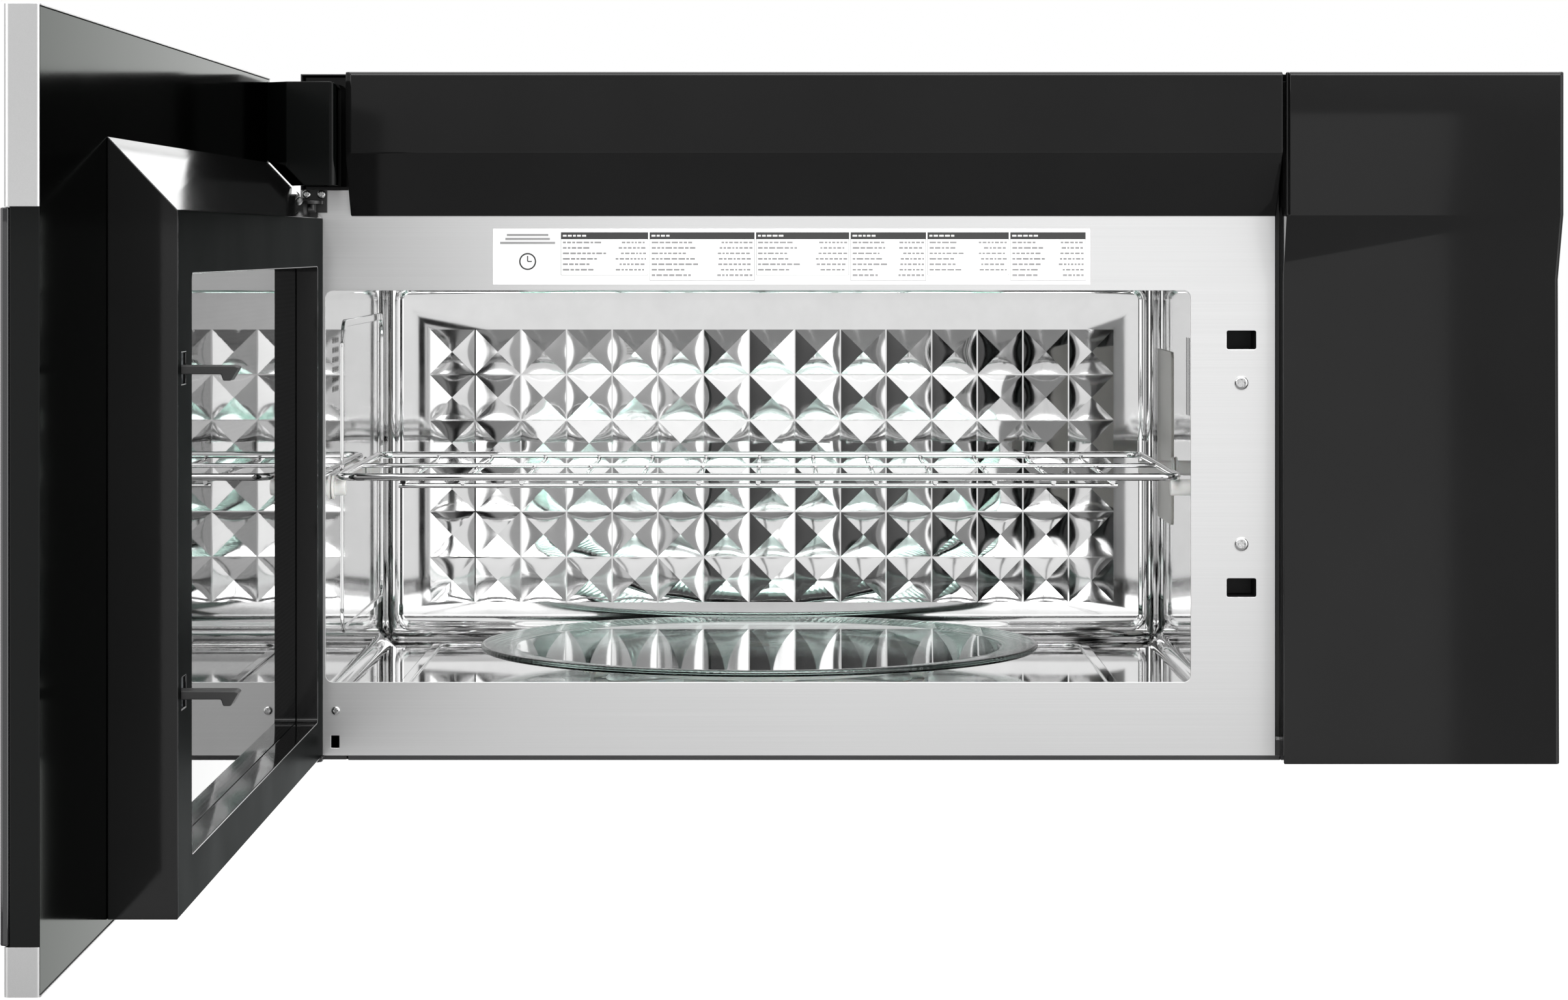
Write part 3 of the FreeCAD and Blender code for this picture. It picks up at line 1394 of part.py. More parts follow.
def door_back_cover():
    x0, x1 = door_left + trim_sheet, door_right - trim_sheet
    z0, z1 = door_bottom + trim_sheet, door_top - trim_sheet
    y_front = door_front + door_glass
    shell = block(x0, x1, y_front, skin_back, z0, z1)
    shell = shell.cut(block(x0 + door_cover, x1 - door_cover, y_front, skin_back - door_cover,
                            z0 + door_cover, z1 - door_cover))
    hole = block(box_left + 8, box_right - 8, skin_back - door_cover, skin_back,
                 box_bottom + 8, box_top)
    ribs = [block(x, x + 2, y_front, skin_back - door_cover, z0 + door_cover, z1 - door_cover)
            for x in (box_left + 2, box_right + 20)]
    housing = hinge_housing(0)
    housing = housing.makeFillet(housing_corner, [e for e in housing.Edges if housing_soft_edge(e)])
    shell = shell.cut(hole).fuse(ribs + [housing]).cut(hinge_housing(door_cover))
    return shell.removeSplitter()


def band(z0, z1, open_low, open_high):
    """A stainless band that wraps the door's front, its two ends and one long edge."""
    y0, y1 = trim_front, skin_back + 0.5
    outer = soft_block(door_left, door_right, y0, y1, z0, z1, 2.2, (0, 0, 1))
    t = trim_sheet
    inner = soft_block(door_left + t, door_right - t, y0 + t, y1, z0 + (0 if open_low else t),
                       z1 - (0 if open_high else t), 1.4, (0, 0, 1))
    return outer.cut(inner).cut(block(door_left + t, door_right - t, y1 - 3, y1,
                                      z0 + (0 if open_low else t), z1 - (0 if open_high else t)))


def door_top_trim():
    return band(glass_high, door_top, True, False)


def door_bottom_trim():
    return band(door_bottom, glass_low, False, True)


def door_front_glass():
    x0, x1 = door_left + trim_sheet, door_right - trim_sheet
    y1 = door_front + door_glass
    return soft_block(x0, x1, door_front, y1, glass_low + seam, glass_high - seam, 1.5,
                      (0, 0, 1))


def user_interface_board():
    y = door_front + door_glass + 4
    x0, x1 = box_right + panel_board_left, door_right - panel_board_right
    low = door_bottom + panel_board_low
    high = low + panel_board_height
    board = block(x0, x1, y, y + board_sheet, low, high)
    display = block(x0 + 12, x1 - 12, y - 2, y, high - 78, high - 48)
    keys = [rod(5, 1.5, (x, y - 1.5, low + dz), (0, 1, 0))
            for x in spread(3, (x1 - x0) * 0.31, (x0 + x1) / 2) for dz in (26, 56, 86, 116)]
    back = skin_back - door_cover
    posts = [rod(3, back - y - board_sheet, (x, y + board_sheet, z), (0, 1, 0))
             for x in (x0 + 6, x1 - 6) for z in (low + 8, high - 10)]
    return join([board, display] + keys + posts)


def latch_hooks():
    y_tip = box_face + hook_reach
    x0, x1 = slot_x - hook_width / 2, slot_x + hook_width / 2
    link_y0, link_y1 = box_face - 14, box_face - 10
    solids = [block(x0 + 2, x1 - 2, link_y0, link_y1, slot_heights[0] - 1.9,
                    slot_heights[1] + 2.1)]
    for z in slot_heights:
        low, high = z - 1.9, z - 1.9 + hook_thickness
        nose = high - hook_thickness - hook_nose
        profile = [(link_y0, low), (y_tip - 8, low), (y_tip - 7, nose), (y_tip - 3.5, nose),
                   (y_tip, high - 1), (y_tip - 1.5, high), (link_y0, high)]
        solids.append(side_prism(profile, x0, x1))
    return join(solids)


def latch_spring_place():
    return slot_x, box_face - 12, slot_heights[0] - 1.9


def latch_spring():
    """A coil that pulls the latch link down to its seat on the door frame."""
    x, y, high = latch_spring_place()
    low = high - 26
    wire_radius, coil_radius, turns = 0.5, 3.2, 8
    rise = high - low - 2 * wire_radius
    path = Part.makeHelix(rise / turns, rise, coil_radius)
    circle = Part.Circle(Vector(coil_radius, 0, 0), Vector(0, 1, 0), wire_radius)
    section = Part.Wire(circle.toShape())
    coil = path.makePipeShell([section], True, False)
    coil.translate(Vector(x, y, low + wire_radius))
    return coil


def spring_seat():
    x, y, high = latch_spring_place()
    return rod(5, 3, (x, y, high - 29), (0, 0, 1)).fuse(
        block(x - 3, x + 3, y, box_face - door_wall - frame_sheet, high - 29, high - 26))


fixed = {
    "wall_mounting_plate": wall_mounting_plate, "rear_panel": rear_panel,
    "outer_case": outer_case, "base_pan": base_pan,
    "screws": lambda: group(case_screws() + plate_screws() + hinge_screws()),
    "front_plate": front_plate, "upper_fascia": upper_fascia, "right_fascia": right_fascia,
    "top_vent_grille": top_vent_grille, "charcoal_filter": charcoal_filter,
    "quick_guide_label": quick_guide_label,
    "cavity_floor": cavity_floor, "cavity_roof": cavity_roof,
    "cavity_left_wall": cavity_left_wall, "cavity_right_wall": cavity_right_wall,
    "cavity_back_wall": cavity_back_wall, "waveguide_cover": waveguide_cover,
    "rack_supports": rack_supports, "wire_rack": wire_rack, "glass_tray": glass_tray,
    "turntable_coupler": turntable_coupler, "turntable_motor": turntable_motor,
    "roller_ring": roller_ring,
    "hinge_brackets": lambda: group([upper_hinge_bracket(), lower_hinge_bracket()]),
    "latch_board": latch_board, "interlock_switches": interlock_switches,
    "vent_blower_housing": vent_blower_housing,
    "fan_motors": lambda: group([vent_blower_motor(), magnetron_fan_motor()]),
    "vent_blower_wheels": vent_blower_wheels, "exhaust_adapter": exhaust_adapter,
    "damper_flap": damper_flap, "cooktop_lamps": cooktop_lamps,
    "cooktop_lamp_covers": cooktop_lamp_covers, "cavity_lamp": cavity_lamp,
    "waveguide": waveguide, "magnetron": magnetron,
    "magnetron_fan_housing": magnetron_fan_housing,
    "magnetron_fan_wheel": magnetron_fan_wheel, "transformer_core": transformer_core,
    "transformer_windings": transformer_windings,
    "high_voltage_capacitor": high_voltage_capacitor, "cord_bushing": cord_bushing,
    "circuit_boards": lambda: group([relay_board(), noise_filter_board()]),
    "grease_filter_left": lambda: grease_filter(-filter_offset),
    "grease_filter_right": lambda: grease_filter(filter_offset),
}
hung = {
    "door_choke_cover": door_choke_cover, "door_inner_window": door_inner_window,
    "door_screen_mesh": door_screen_mesh, "door_hinge_bushes": door_hinge_bushes,
    "door_frame": door_frame, "door_back_cover": door_back_cover,
    "door_front_glass": door_front_glass, "door_top_trim": door_top_trim,
    "door_bottom_trim": door_bottom_trim, "user_interface_board": user_interface_board,
    "latch_hooks": latch_hooks, "latch_spring": latch_spring,
}


def save(name, solid):
    """Write one piece, lowered so that the wall plate's middle is at height 0."""
    placed = solid.copy()
    placed.translate(Vector(0, 0, -middle))
    placed.exportStep(f"parts/{name}.step")
    print(name, len(placed.Solids), round(placed.Volume / 1000, 1), placed.isValid())


os.makedirs("parts", exist_ok=True)
for name, make in fixed.items():
    save(name, make())
for name, make in hung.items():
    save(name, swing_open(make()))
for i in range(roller_count):
    save(f"roller_{i + 1}", roller(i))
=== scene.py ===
# %% [markdown]
# # An over-the-range microwave with its door standing open
# The metal box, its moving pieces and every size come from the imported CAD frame. This notebook
# dresses that frame: it gives each piece its finish, rolls the sharp corners of the sheet metal,
# and makes the pieces whose look the plain solids can't carry, such as the pressed cavity, the
# bent wires of the rack and the printed glass of the door.

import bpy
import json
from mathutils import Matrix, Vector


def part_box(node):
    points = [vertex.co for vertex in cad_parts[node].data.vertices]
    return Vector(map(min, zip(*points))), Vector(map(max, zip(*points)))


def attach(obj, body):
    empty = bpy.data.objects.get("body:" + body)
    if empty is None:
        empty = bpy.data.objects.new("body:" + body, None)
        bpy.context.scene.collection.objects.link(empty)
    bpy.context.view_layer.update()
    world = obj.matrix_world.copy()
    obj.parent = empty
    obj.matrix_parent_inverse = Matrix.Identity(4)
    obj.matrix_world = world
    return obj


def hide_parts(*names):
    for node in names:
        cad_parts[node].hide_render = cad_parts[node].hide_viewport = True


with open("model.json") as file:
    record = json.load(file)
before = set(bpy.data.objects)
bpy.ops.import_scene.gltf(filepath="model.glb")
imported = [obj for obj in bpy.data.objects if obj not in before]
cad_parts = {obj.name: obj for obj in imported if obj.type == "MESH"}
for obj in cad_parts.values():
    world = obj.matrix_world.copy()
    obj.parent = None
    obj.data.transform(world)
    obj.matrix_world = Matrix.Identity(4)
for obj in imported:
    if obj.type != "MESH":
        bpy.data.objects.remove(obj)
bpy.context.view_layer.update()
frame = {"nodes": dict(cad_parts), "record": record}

# %% [markdown]
# Everything below is in metres, like the frame. Lengths are easier to read in millimetres, so
# one named factor turns them. X runs to the right, Y from the front to the wall, Z upwards.

# %% Names that the whole notebook uses
import json
import math
import random

import bmesh
import bpy
import numpy as np
from mathutils import Matrix, Vector

mm = 0.001
nodes = frame["nodes"]
ROOT = "oven"
DOOR = "door"
low, high = {}, {}
for name in nodes:
    low[name], high[name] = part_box(name)
slot_of = {part["node"]: part["material_slot"] for part in frame["record"]["subparts"]}
body_of = {node: body for body, members in frame["record"]["behaviour"]["bodies"].items()
           for node in members}
plate_front = low["front_plate"].y
print("steel plate stands at y =", round(plate_front, 4))

# %% [markdown]
# ## The camera
# The photograph was taken from straight in front: every face that is parallel to the wall keeps
# its right angles. So the camera looks exactly along +Y, and the picture is shifted instead of
# the camera being turned. The shift is what makes the left door edge and the right end fit.

# %% Camera
scene = bpy.context.scene
lens = bpy.data.cameras.new("front_camera")
lens.sensor_width = 36.0
lens.lens = 91.55
lens.shift_x = 0.0058
lens.shift_y = -0.1634
lens.clip_end = 200
camera = bpy.data.objects.new("front_camera", lens)
camera.location = (-92.1 * mm, -2820.4 * mm, 105.0 * mm)
camera.rotation_euler = (math.radians(90), 0, 0)
scene.collection.objects.link(camera)
scene.camera = camera
print("camera to the steel plate:", round(plate_front - camera.location.y, 4), "m")

# %% [markdown]
# ## Light
# Polished steel and black gloss show what surrounds them more than the lamps themselves. The
# surroundings are a photo studio: bright paper straight behind the oven, which the open door
# mirrors along its inner side, a pale ceiling, and a dim room behind the camera, which is what
# the black panels of the front mirror. Large soft boxes light the brushed steel, and a wide card
# in front of the opening is what the flat border of the cavity's back wall mirrors. A camera ray
# that misses everything sees plain white paper.

# %% Surroundings
world = bpy.data.worlds.new("studio")
scene.world = world
world.use_nodes = True
sky = world.node_tree
sky.nodes.clear()


def sky_node(kind, **settings):
    """A node of the surroundings with its settings."""
    node = sky.nodes.new(kind)
    for key, value in settings.items():
        setattr(node, key, value)
    return node


def sky_ramp(socket, *stops):
    """Grey levels along one component of the direction. The component runs from -1 to 1 and is
    moved to the ramp's own 0 to 1."""
    half = sky_node("ShaderNodeMath", operation="MULTIPLY_ADD")
    half.inputs[1].default_value = 0.5
    half.inputs[2].default_value = 0.5
    sky.links.new(socket, half.inputs[0])
    bands = sky_node("ShaderNodeValToRGB")
    elements = bands.color_ramp.elements
    while len(elements) < len(stops):
        elements.new(0.5)
    for element, (place, level) in zip(elements, stops):
        element.position = (place + 1) / 2
        element.color = (level, level, level, 1)
    sky.links.new(half.outputs[0], bands.inputs["Fac"])
    return bands.outputs["Color"]


direction = sky_node("ShaderNodeTexCoord")
split = sky_node("ShaderNodeSeparateXYZ")
sky.links.new(direction.outputs["Generated"], split.inputs[0])
room = sky_ramp(split.outputs["Z"], (-1.0, 0.34), (-0.3, 0.38), (-0.04, 0.42), (0.1, 0.62),
                (0.4, 1.0), (1.0, 1.3))
backdrop = sky_ramp(split.outputs["Y"], (-0.15, 0.0), (0.3, 0.08), (0.9, 0.08), (0.97, 1.0))
blend_sky = sky_node("ShaderNodeMix", data_type="RGBA")
sky.links.new(backdrop, blend_sky.inputs["Factor"])
sky.links.new(room, blend_sky.inputs["A"])
paper_level = 2.1
blend_sky.inputs["B"].default_value = (paper_level, paper_level, paper_level, 1)
seen = sky_node("ShaderNodeLightPath")
lit = sky_node("ShaderNodeBackground")
paper = sky_node("ShaderNodeBackground")
paper.inputs["Color"].default_value = (1, 1, 1, 1)
choose = sky_node("ShaderNodeMixShader")
out = sky_node("ShaderNodeOutputWorld")
sky.links.new(blend_sky.outputs["Result"], lit.inputs["Color"])
sky.links.new(seen.outputs["Is Camera Ray"], choose.inputs["Fac"])
sky.links.new(lit.outputs[0], choose.inputs[1])
sky.links.new(paper.outputs[0], choose.inputs[2])
sky.links.new(choose.outputs[0], out.inputs["Surface"])
scene.view_settings.view_transform = "Standard"

# %% Soft boxes
def soft_box(name, place, target, width, height, power):
    """A rectangular lamp at a place, facing a target, that no camera ray sees."""
    light = bpy.data.lights.new(name, "AREA")
    light.shape = "RECTANGLE"
    light.size, light.size_y, light.energy = width, height, power
    lamp = bpy.data.objects.new(name, light)
    lamp.location = place
    lamp.rotation_euler = (Vector(target) - Vector(place)).to_track_quat("-Z", "Y").to_euler()
    lamp.visible_camera = False
    scene.collection.objects.link(lamp)


middle = Vector((0, plate_front, 0))
soft_box("key_box", (0.2, -2.6, 2.0), middle, 2.6, 1.2, 70)
soft_box("left_box", (-2.4, -2.4, 0.5), middle, 2.4, 2.2, 27)
soft_box("right_box", (2.3, -2.4, 0.4), middle, 2.4, 2.2, 29)
soft_box("top_box", (0, -0.2, 2.4), (0, -0.2, 0), 2.4, 1.4, 25)
soft_box("cavity_card", (-0.07, -2.0, -0.13), (-0.07, 0, -0.13), 1.30, 0.50, 1.05)

# %% [markdown]
# ## Finishes
# A finish is a small graph of shader nodes. Written as sockets and links it is hard to read, so
# one class wraps a socket and lets Python's own + - * and > build the Math nodes. The reflected
# forms let a plain number stand on the left, as in 1 - mask. Patterns read Object coordinates:
# every finished piece sits at the origin, so a brushed grain stays on the metal when the piece
# moves, and neighbouring pieces share one scale.

# %% Shader maths written as Python
class Number:
    """One value in a node tree. Arithmetic on it adds Math nodes."""

    def __init__(self, tree, socket):
        self.tree, self.socket = tree, socket

    def math(self, operation, *others):
        """A Math node on this value and others."""
        node = self.tree.nodes.new("ShaderNodeMath")
        node.operation = operation
        for slot, item in zip(node.inputs, (self, *others)):
            join_socket(self.tree, slot, item)
        return Number(self.tree, node.outputs[0])

    def __add__(self, other): return self.math("ADD", other)
    def __sub__(self, other): return self.math("SUBTRACT", other)
    def __mul__(self, other): return self.math("MULTIPLY", other)
    def __gt__(self, other): return self.math("GREATER_THAN", other)
    def __rsub__(self, other): return self * -1.0 + other
    __radd__, __rmul__ = __add__, __mul__


def join_socket(tree, socket, item):
    """Link a value to a socket, or set the socket's own constant."""
    if isinstance(item, Number):
        tree.links.new(item.socket, socket)
    else:
        socket.default_value = item


def named_socket(node, key):
    """An input by its name with underscores, or by its number, as in i0."""
    return node.inputs[int(key[1:]) if key[1:].isdigit() else key.replace("_", " ")]


# %% One finish
class Finish:
    """A Principled material. Constants go on its sockets, patterns are linked to them."""

    def __init__(self, name, **constants):
        self.material = bpy.data.materials.new(name)
        self.material.use_nodes = True
        self.tree = self.material.node_tree
        self.skin = self.tree.nodes["Principled BSDF"]
        for key, value in constants.items():
            self.skin.inputs[key.replace("_", " ")].default_value = value
        self.place = self.node("ShaderNodeTexCoord", out="Object")

    def node(self, kind, settings=None, out=0, **inputs):
        """Any node: its settings first, then the values or links of its sockets."""
        node = self.tree.nodes.new(kind)
        for key, value in (settings or {}).items():
            setattr(node, key, value)
        for key, value in inputs.items():
            join_socket(self.tree, named_socket(node, key), value)
        return Number(self.tree, node.outputs[out])

    def stretched(self, x, y, z):
        """Object coordinates scaled by a given amount along each axis."""
        return self.node("ShaderNodeMapping", out="Vector", Vector=self.place, Scale=(x, y, z))

    def along(self, x, y, z):
        """Distance along a direction, in metres times the direction's length."""
        return self.node("ShaderNodeVectorMath", {"operation": "DOT_PRODUCT"}, "Value",
                         i0=self.place, i1=(x, y, z))

    def noise(self, scale, detail=2.0, where=None, roughness=0.5):
        """Cloudy values from 0 to 1."""
        return self.node("ShaderNodeTexNoise", out="Fac", Vector=where or self.place,
                         Scale=scale, Detail=detail, Roughness=roughness)

    def ramp(self, value, *stops):
        """A colour for each place along a value."""
        node = self.tree.nodes.new("ShaderNodeValToRGB")
        band = node.color_ramp
        while len(band.elements) < len(stops):
            band.elements.new(0.5)
        for element, (place, colour) in zip(band.elements, stops):
            element.position = place
            element.color = (*colour, 1.0)
        join_socket(self.tree, node.inputs["Fac"], value)
        return Number(self.tree, node.outputs["Color"])

    def span(self, value, low_value, high_value):
        """Stretch a value from 0..1 to another range."""
        return value * (high_value - low_value) + low_value

    def drive(self, socket, value):
        """Let a pattern feed one of the skin's sockets."""
        join_socket(self.tree, self.skin.inputs[socket], value)

    def bump(self, height, distance, strength=1.0):
        """Small relief, in metres."""
        normal = self.node("ShaderNodeBump", out="Normal", Height=height, Distance=distance,
                           Strength=strength)
        self.drive("Normal", normal)


def grey(level):
    """A neutral colour."""
    return (level, level, level)


# %% [markdown]
# ### Steel
# Brushed steel is a bright metal with thousands of fine parallel scratches. A noise that is
# stretched along the brushing direction gives them: long in X, a fraction of a millimetre in Z.
# The same streaks vary the colour a little, the roughness, and the relief. The cavity is the
# same metal before brushing: nearly a mirror, but rolled sheet is never quite flat, so a broad,
# very shallow ripple bends its reflections.

# %% Steel finishes
def brushed(name, level, rough, grain=(4, 2600, 2600)):
    """Steel with a grain along X."""
    finish = Finish(name, Metallic=1.0)
    streak = finish.noise(1.0, 3.0, finish.stretched(*grain), 0.6)
    cloud = finish.noise(7.0, 2.0)
    finish.drive("Base Color", finish.ramp(streak, (0.25, grey(level * 0.93)), (0.75, grey(level))))
    finish.drive("Roughness", finish.span(0.5 * streak + 0.5 * cloud, rough - 0.05, rough + 0.06))
    finish.bump(streak, 0.000006, 0.5)
    return finish.material


def polished(name, level, rough, ripple):
    """Bright rolled steel whose reflections wander."""
    finish = Finish(name, Metallic=1.0)
    smear = finish.noise(60.0, 3.0, finish.stretched(1, 0.3, 1))
    wave = finish.noise(9.0, 1.0)
    finish.drive("Base Color", finish.ramp(smear, (0.3, grey(level * 0.95)), (0.7, grey(level))))
    finish.drive("Roughness", finish.span(smear, rough * 0.5, rough * 1.5))
    finish.bump(wave, ripple)
    return finish.material


def galvanised():
    """Zinc coated sheet with its dull spangle."""
    finish = Finish("zinc_spangle", Metallic=0.85)
    spangle = finish.node("ShaderNodeTexVoronoi", {"feature": "F1"}, "Color", Vector=finish.place,
                          Scale=130.0)
    flake = finish.node("ShaderNodeSeparateColor", out=0, Color=spangle)
    dirt = finish.noise(12.0, 4.0)
    tone = 0.6 * flake + 0.4 * dirt
    finish.drive("Base Color", finish.ramp(tone, (0.2, (0.33, 0.35, 0.36)),
                                           (0.8, (0.56, 0.58, 0.60))))
    finish.drive("Roughness", finish.span(tone, 0.32, 0.52))
    return finish.material


finishes = {
    "galvanised": galvanised(),
    "face_steel": brushed("brushed_face_steel", 0.88, 0.34),
    "trim_steel": brushed("brushed_trim_steel", 0.62, 0.36, (2600, 4, 2600)),
    "cavity_steel": polished("bright_cavity_steel", 0.76, 0.05, 0.0002),
    "chrome_wire": polished("plated_wire", 0.88, 0.04, 0.00005),
    "screw_steel": polished("zinc_plated_screw", 0.72, 0.2, 0.00005),
    "aluminium_mesh": brushed("aluminium_mesh", 0.72, 0.38, (300, 300, 300)),
}
print("steel finishes:", len(finishes))


# %% [markdown]
# ### Plastics, paint and glass
# Black gloss mouldings are almost a mirror with a very faint orange peel from the mould. Satin
# and textured mouldings get a finer, rougher grain. The open door is seen almost edge on, where
# any gloss mirrors strongly: a metallic black with a dim tint keeps that reflection down. The
# smoked window and the clear tray let light through, so their colour sits in the glass.

# %% Mouldings and paint
def shaded(colour, share):
    """A colour made darker."""
    return tuple(channel * share for channel in colour)


def moulded(name, colour, rough, grain_scale, grain_depth, **constants):
    """Plastic or paint with a fine even grain and slightly uneven gloss."""
    finish = Finish(name, **constants)
    grain = finish.noise(grain_scale, 2.0)
    cloud = finish.noise(11.0, 3.0)
    finish.drive("Base Color", finish.ramp(cloud, (0.3, shaded(colour, 0.82)), (0.7, colour)))
    finish.drive("Roughness", finish.span(cloud, rough * 0.8, rough * 1.2))
    finish.bump(grain, grain_depth)
    return finish.material


def see_through(name, colour, rough, thickness_wave, **constants):
    """Glass or clear plastic with a trace of waviness."""
    finish = Finish(name, Transmission_Weight=1.0, IOR=1.5, **constants)
    wave = finish.noise(25.0, 2.0)
    finish.drive("Base Color", finish.ramp(wave, (0.2, shaded(colour, 0.96)), (0.8, colour)))
    finish.drive("Roughness", finish.span(wave, rough * 0.6, rough * 1.4))
    finish.bump(wave, thickness_wave)
    return finish.material


finishes.update({
    "case_paint": moulded("black_powder_coat", (0.020, 0.020, 0.021), 0.42, 1500.0, 0.00004),
    "black_gloss": moulded("piano_black", (0.0055, 0.0055, 0.0055), 0.06, 420.0, 0.000003,
                           Specular_IOR_Level=0.3),
    "door_black": moulded("door_inner_black", (0.0045, 0.0055, 0.0052), 0.09, 420.0, 0.000003,
                          Metallic=1.0, Specular_Tint=(0.40, 0.41, 0.40, 1.0)),
    "door_mirror": moulded("door_slope_gloss", (0.001, 0.0012, 0.0011), 0.02, 300.0, 0.000001,
                           Specular_IOR_Level=0.4),
    "door_end": moulded("door_end_black", (0.0015, 0.0018, 0.0017), 0.12, 420.0, 0.000003,
                        Specular_IOR_Level=0.2),
    "window_bezel": moulded("window_bezel_satin", (0.040, 0.043, 0.042), 0.36, 1400.0, 0.00003,
                            Metallic=1.0, Specular_Tint=(0.16, 0.17, 0.17, 1.0)),
    "hinge_steel": moulded("blackened_hinge_steel", (0.06, 0.06, 0.06), 0.32, 900.0, 0.00002,
                           Metallic=0.8),
    "black_matte": moulded("black_textured", (0.018, 0.018, 0.018), 0.5, 1800.0, 0.00004),
    "white_plastic": moulded("white_nylon", (0.78, 0.78, 0.76), 0.34, 900.0, 0.00001,
                             Subsurface_Weight=0.1, Subsurface_Scale=0.002),
    "black_glass": moulded("back_painted_glass", (0.006, 0.006, 0.007), 0.02, 60.0, 0.000002,
                           Coat_Weight=1.0, Coat_Roughness=0.01),
    "label_paper": moulded("label_paper", (0.80, 0.80, 0.80), 0.6, 1200.0, 0.00001),
    "print_black": moulded("print_black", (0.03, 0.03, 0.03), 0.5, 900.0, 0.00001),
    "print_grey": moulded("print_grey", (0.26, 0.26, 0.26), 0.5, 900.0, 0.00001),
    "print_white": moulded("print_white", (0.82, 0.82, 0.80), 0.4, 900.0, 0.00001),
    "display_glass": moulded("display_glass", (0.012, 0.02, 0.024), 0.12, 60.0, 0.000002),
    "mica": moulded("mica_sheet", (0.60, 0.585, 0.545), 0.3, 240.0, 0.00008),
    "board_green": moulded("solder_mask", (0.02, 0.16, 0.06), 0.35, 500.0, 0.00003),
    "carbon_felt": moulded("carbon_granules", (0.012, 0.012, 0.012), 0.9, 700.0, 0.0012),
    "lamp_board": moulded("lamp_board", (0.80, 0.79, 0.72), 0.4, 500.0, 0.00002),
    "tinted_glass": see_through("smoked_window", (0.10, 0.10, 0.11), 0.012, 0.00001),
})
print("finishes so far:", len(finishes))


# %% Glass with a pattern, perforated sheet, iron core and copper windings
def tray_glass():
    """Clear glass with a green rim and fine rays pressed into it, as on a turntable tray."""
    finish = Finish("clear_tray_glass", Transmission_Weight=1.0, IOR=1.5, Roughness=0.02)
    centre = (low["glass_tray"] + high["glass_tray"]) / 2
    x = finish.along(1, 0, 0) - centre.x
    y = finish.along(0, 1, 0) - centre.y
    ray_count, rim_start = 220.0, 158 * mm
    rays = (x.math("ARCTAN2", y) * ray_count).math("SINE")
    rim = (x * x + y * y).math("SQRT") > rim_start
    cloud = finish.noise(20.0, 2.0)
    tint = 0.3 * cloud + 0.7 * rim
    finish.drive("Base Color", finish.ramp(
        tint, (0.05, (0.82, 0.93, 0.90)), (0.3, (0.90, 0.97, 0.95)),
        (0.72, (0.50, 0.68, 0.62)), (1.0, (0.60, 0.76, 0.70))))
    finish.bump(rays * rim, 0.00005)
    return finish.material


def ribbed_lens():
    """Frosted lamp lens with shallow prisms across it."""
    finish = Finish("ribbed_lens", Transmission_Weight=1.0, IOR=1.49)
    ribs = finish.along(2400.0, 0, 0).math("SINE")
    cloud = finish.noise(30.0, 2.0)
    finish.drive("Base Color", finish.ramp(cloud, (0.3, grey(0.88)), (0.7, grey(0.95))))
    finish.drive("Roughness", finish.span(cloud, 0.14, 0.24))
    finish.bump(ribs, 0.0003)
    return finish.material


def perforated_sheet():
    """Painted sheet with staggered holes, which stay dark because the door is dark inside."""
    finish = Finish("perforated_sheet", Metallic=0.4)
    pitch = 2 * math.pi / (2.6 * mm)
    rows = finish.along(0, pitch / 2, pitch / 2).math("SINE")
    columns = finish.along(0, pitch / 2, -pitch / 2).math("SINE")
    hole = rows * columns > 0.25
    tone = finish.noise(20.0, 2.0)
    finish.drive("Base Color", finish.ramp(1 - hole, (0.4, grey(0.003)), (0.6, grey(0.05))))
    finish.drive("Roughness", finish.span(tone, 0.35, 0.5))
    return finish.material


def laminated_iron():
    """Stacked sheets of varnished iron: fine dark lines across the stack."""
    finish = Finish("laminated_iron", Metallic=0.7)
    wave = finish.node("ShaderNodeTexWave", {"bands_direction": "Y"}, "Fac", Vector=finish.place,
                       Scale=160.0, Distortion=0.2, Detail=1.0)
    rust = finish.noise(40.0, 4.0)
    finish.drive("Base Color", finish.ramp(0.7 * wave + 0.3 * rust, (0.2, (0.05, 0.045, 0.04)),
                                           (0.8, (0.22, 0.21, 0.2))))
    finish.drive("Roughness", finish.span(rust, 0.4, 0.65))
    finish.bump(wave, 0.0001)
    return finish.material


def wound_copper():
    """Lacquered wire laid side by side."""
    finish = Finish("wound_copper", Metallic=0.9, Coat_Weight=0.5, Coat_Roughness=0.15)
    wave = finish.node("ShaderNodeTexWave", {"bands_direction": "Z"}, "Fac", Vector=finish.place,
                       Scale=300.0, Distortion=0.3, Detail=1.0)
    tone = finish.noise(30.0, 3.0)
    finish.drive("Base Color", finish.ramp(tone, (0.3, (0.42, 0.16, 0.07)),
                                           (0.7, (0.62, 0.27, 0.13))))
    finish.drive("Roughness", finish.span(tone, 0.25, 0.45))
    finish.bump(wave, 0.0002)
    return finish.material


finishes["clear_glass"] = tray_glass()
finishes["lens"] = ribbed_lens()
finishes["core_iron"] = laminated_iron()
finishes["copper"] = wound_copper()
finishes["perforated"] = perforated_sheet()

# %% Each node takes the finish of the slot that the record gives it
for name, piece in nodes.items():
    piece.data.materials.clear()
    piece.data.materials.append(finishes[slot_of[name]])
nodes["door_screen_mesh"].data.materials[0] = finishes["perforated"]
print("slots in use:", len(set(slot_of.values())), "finishes made:", len(finishes))
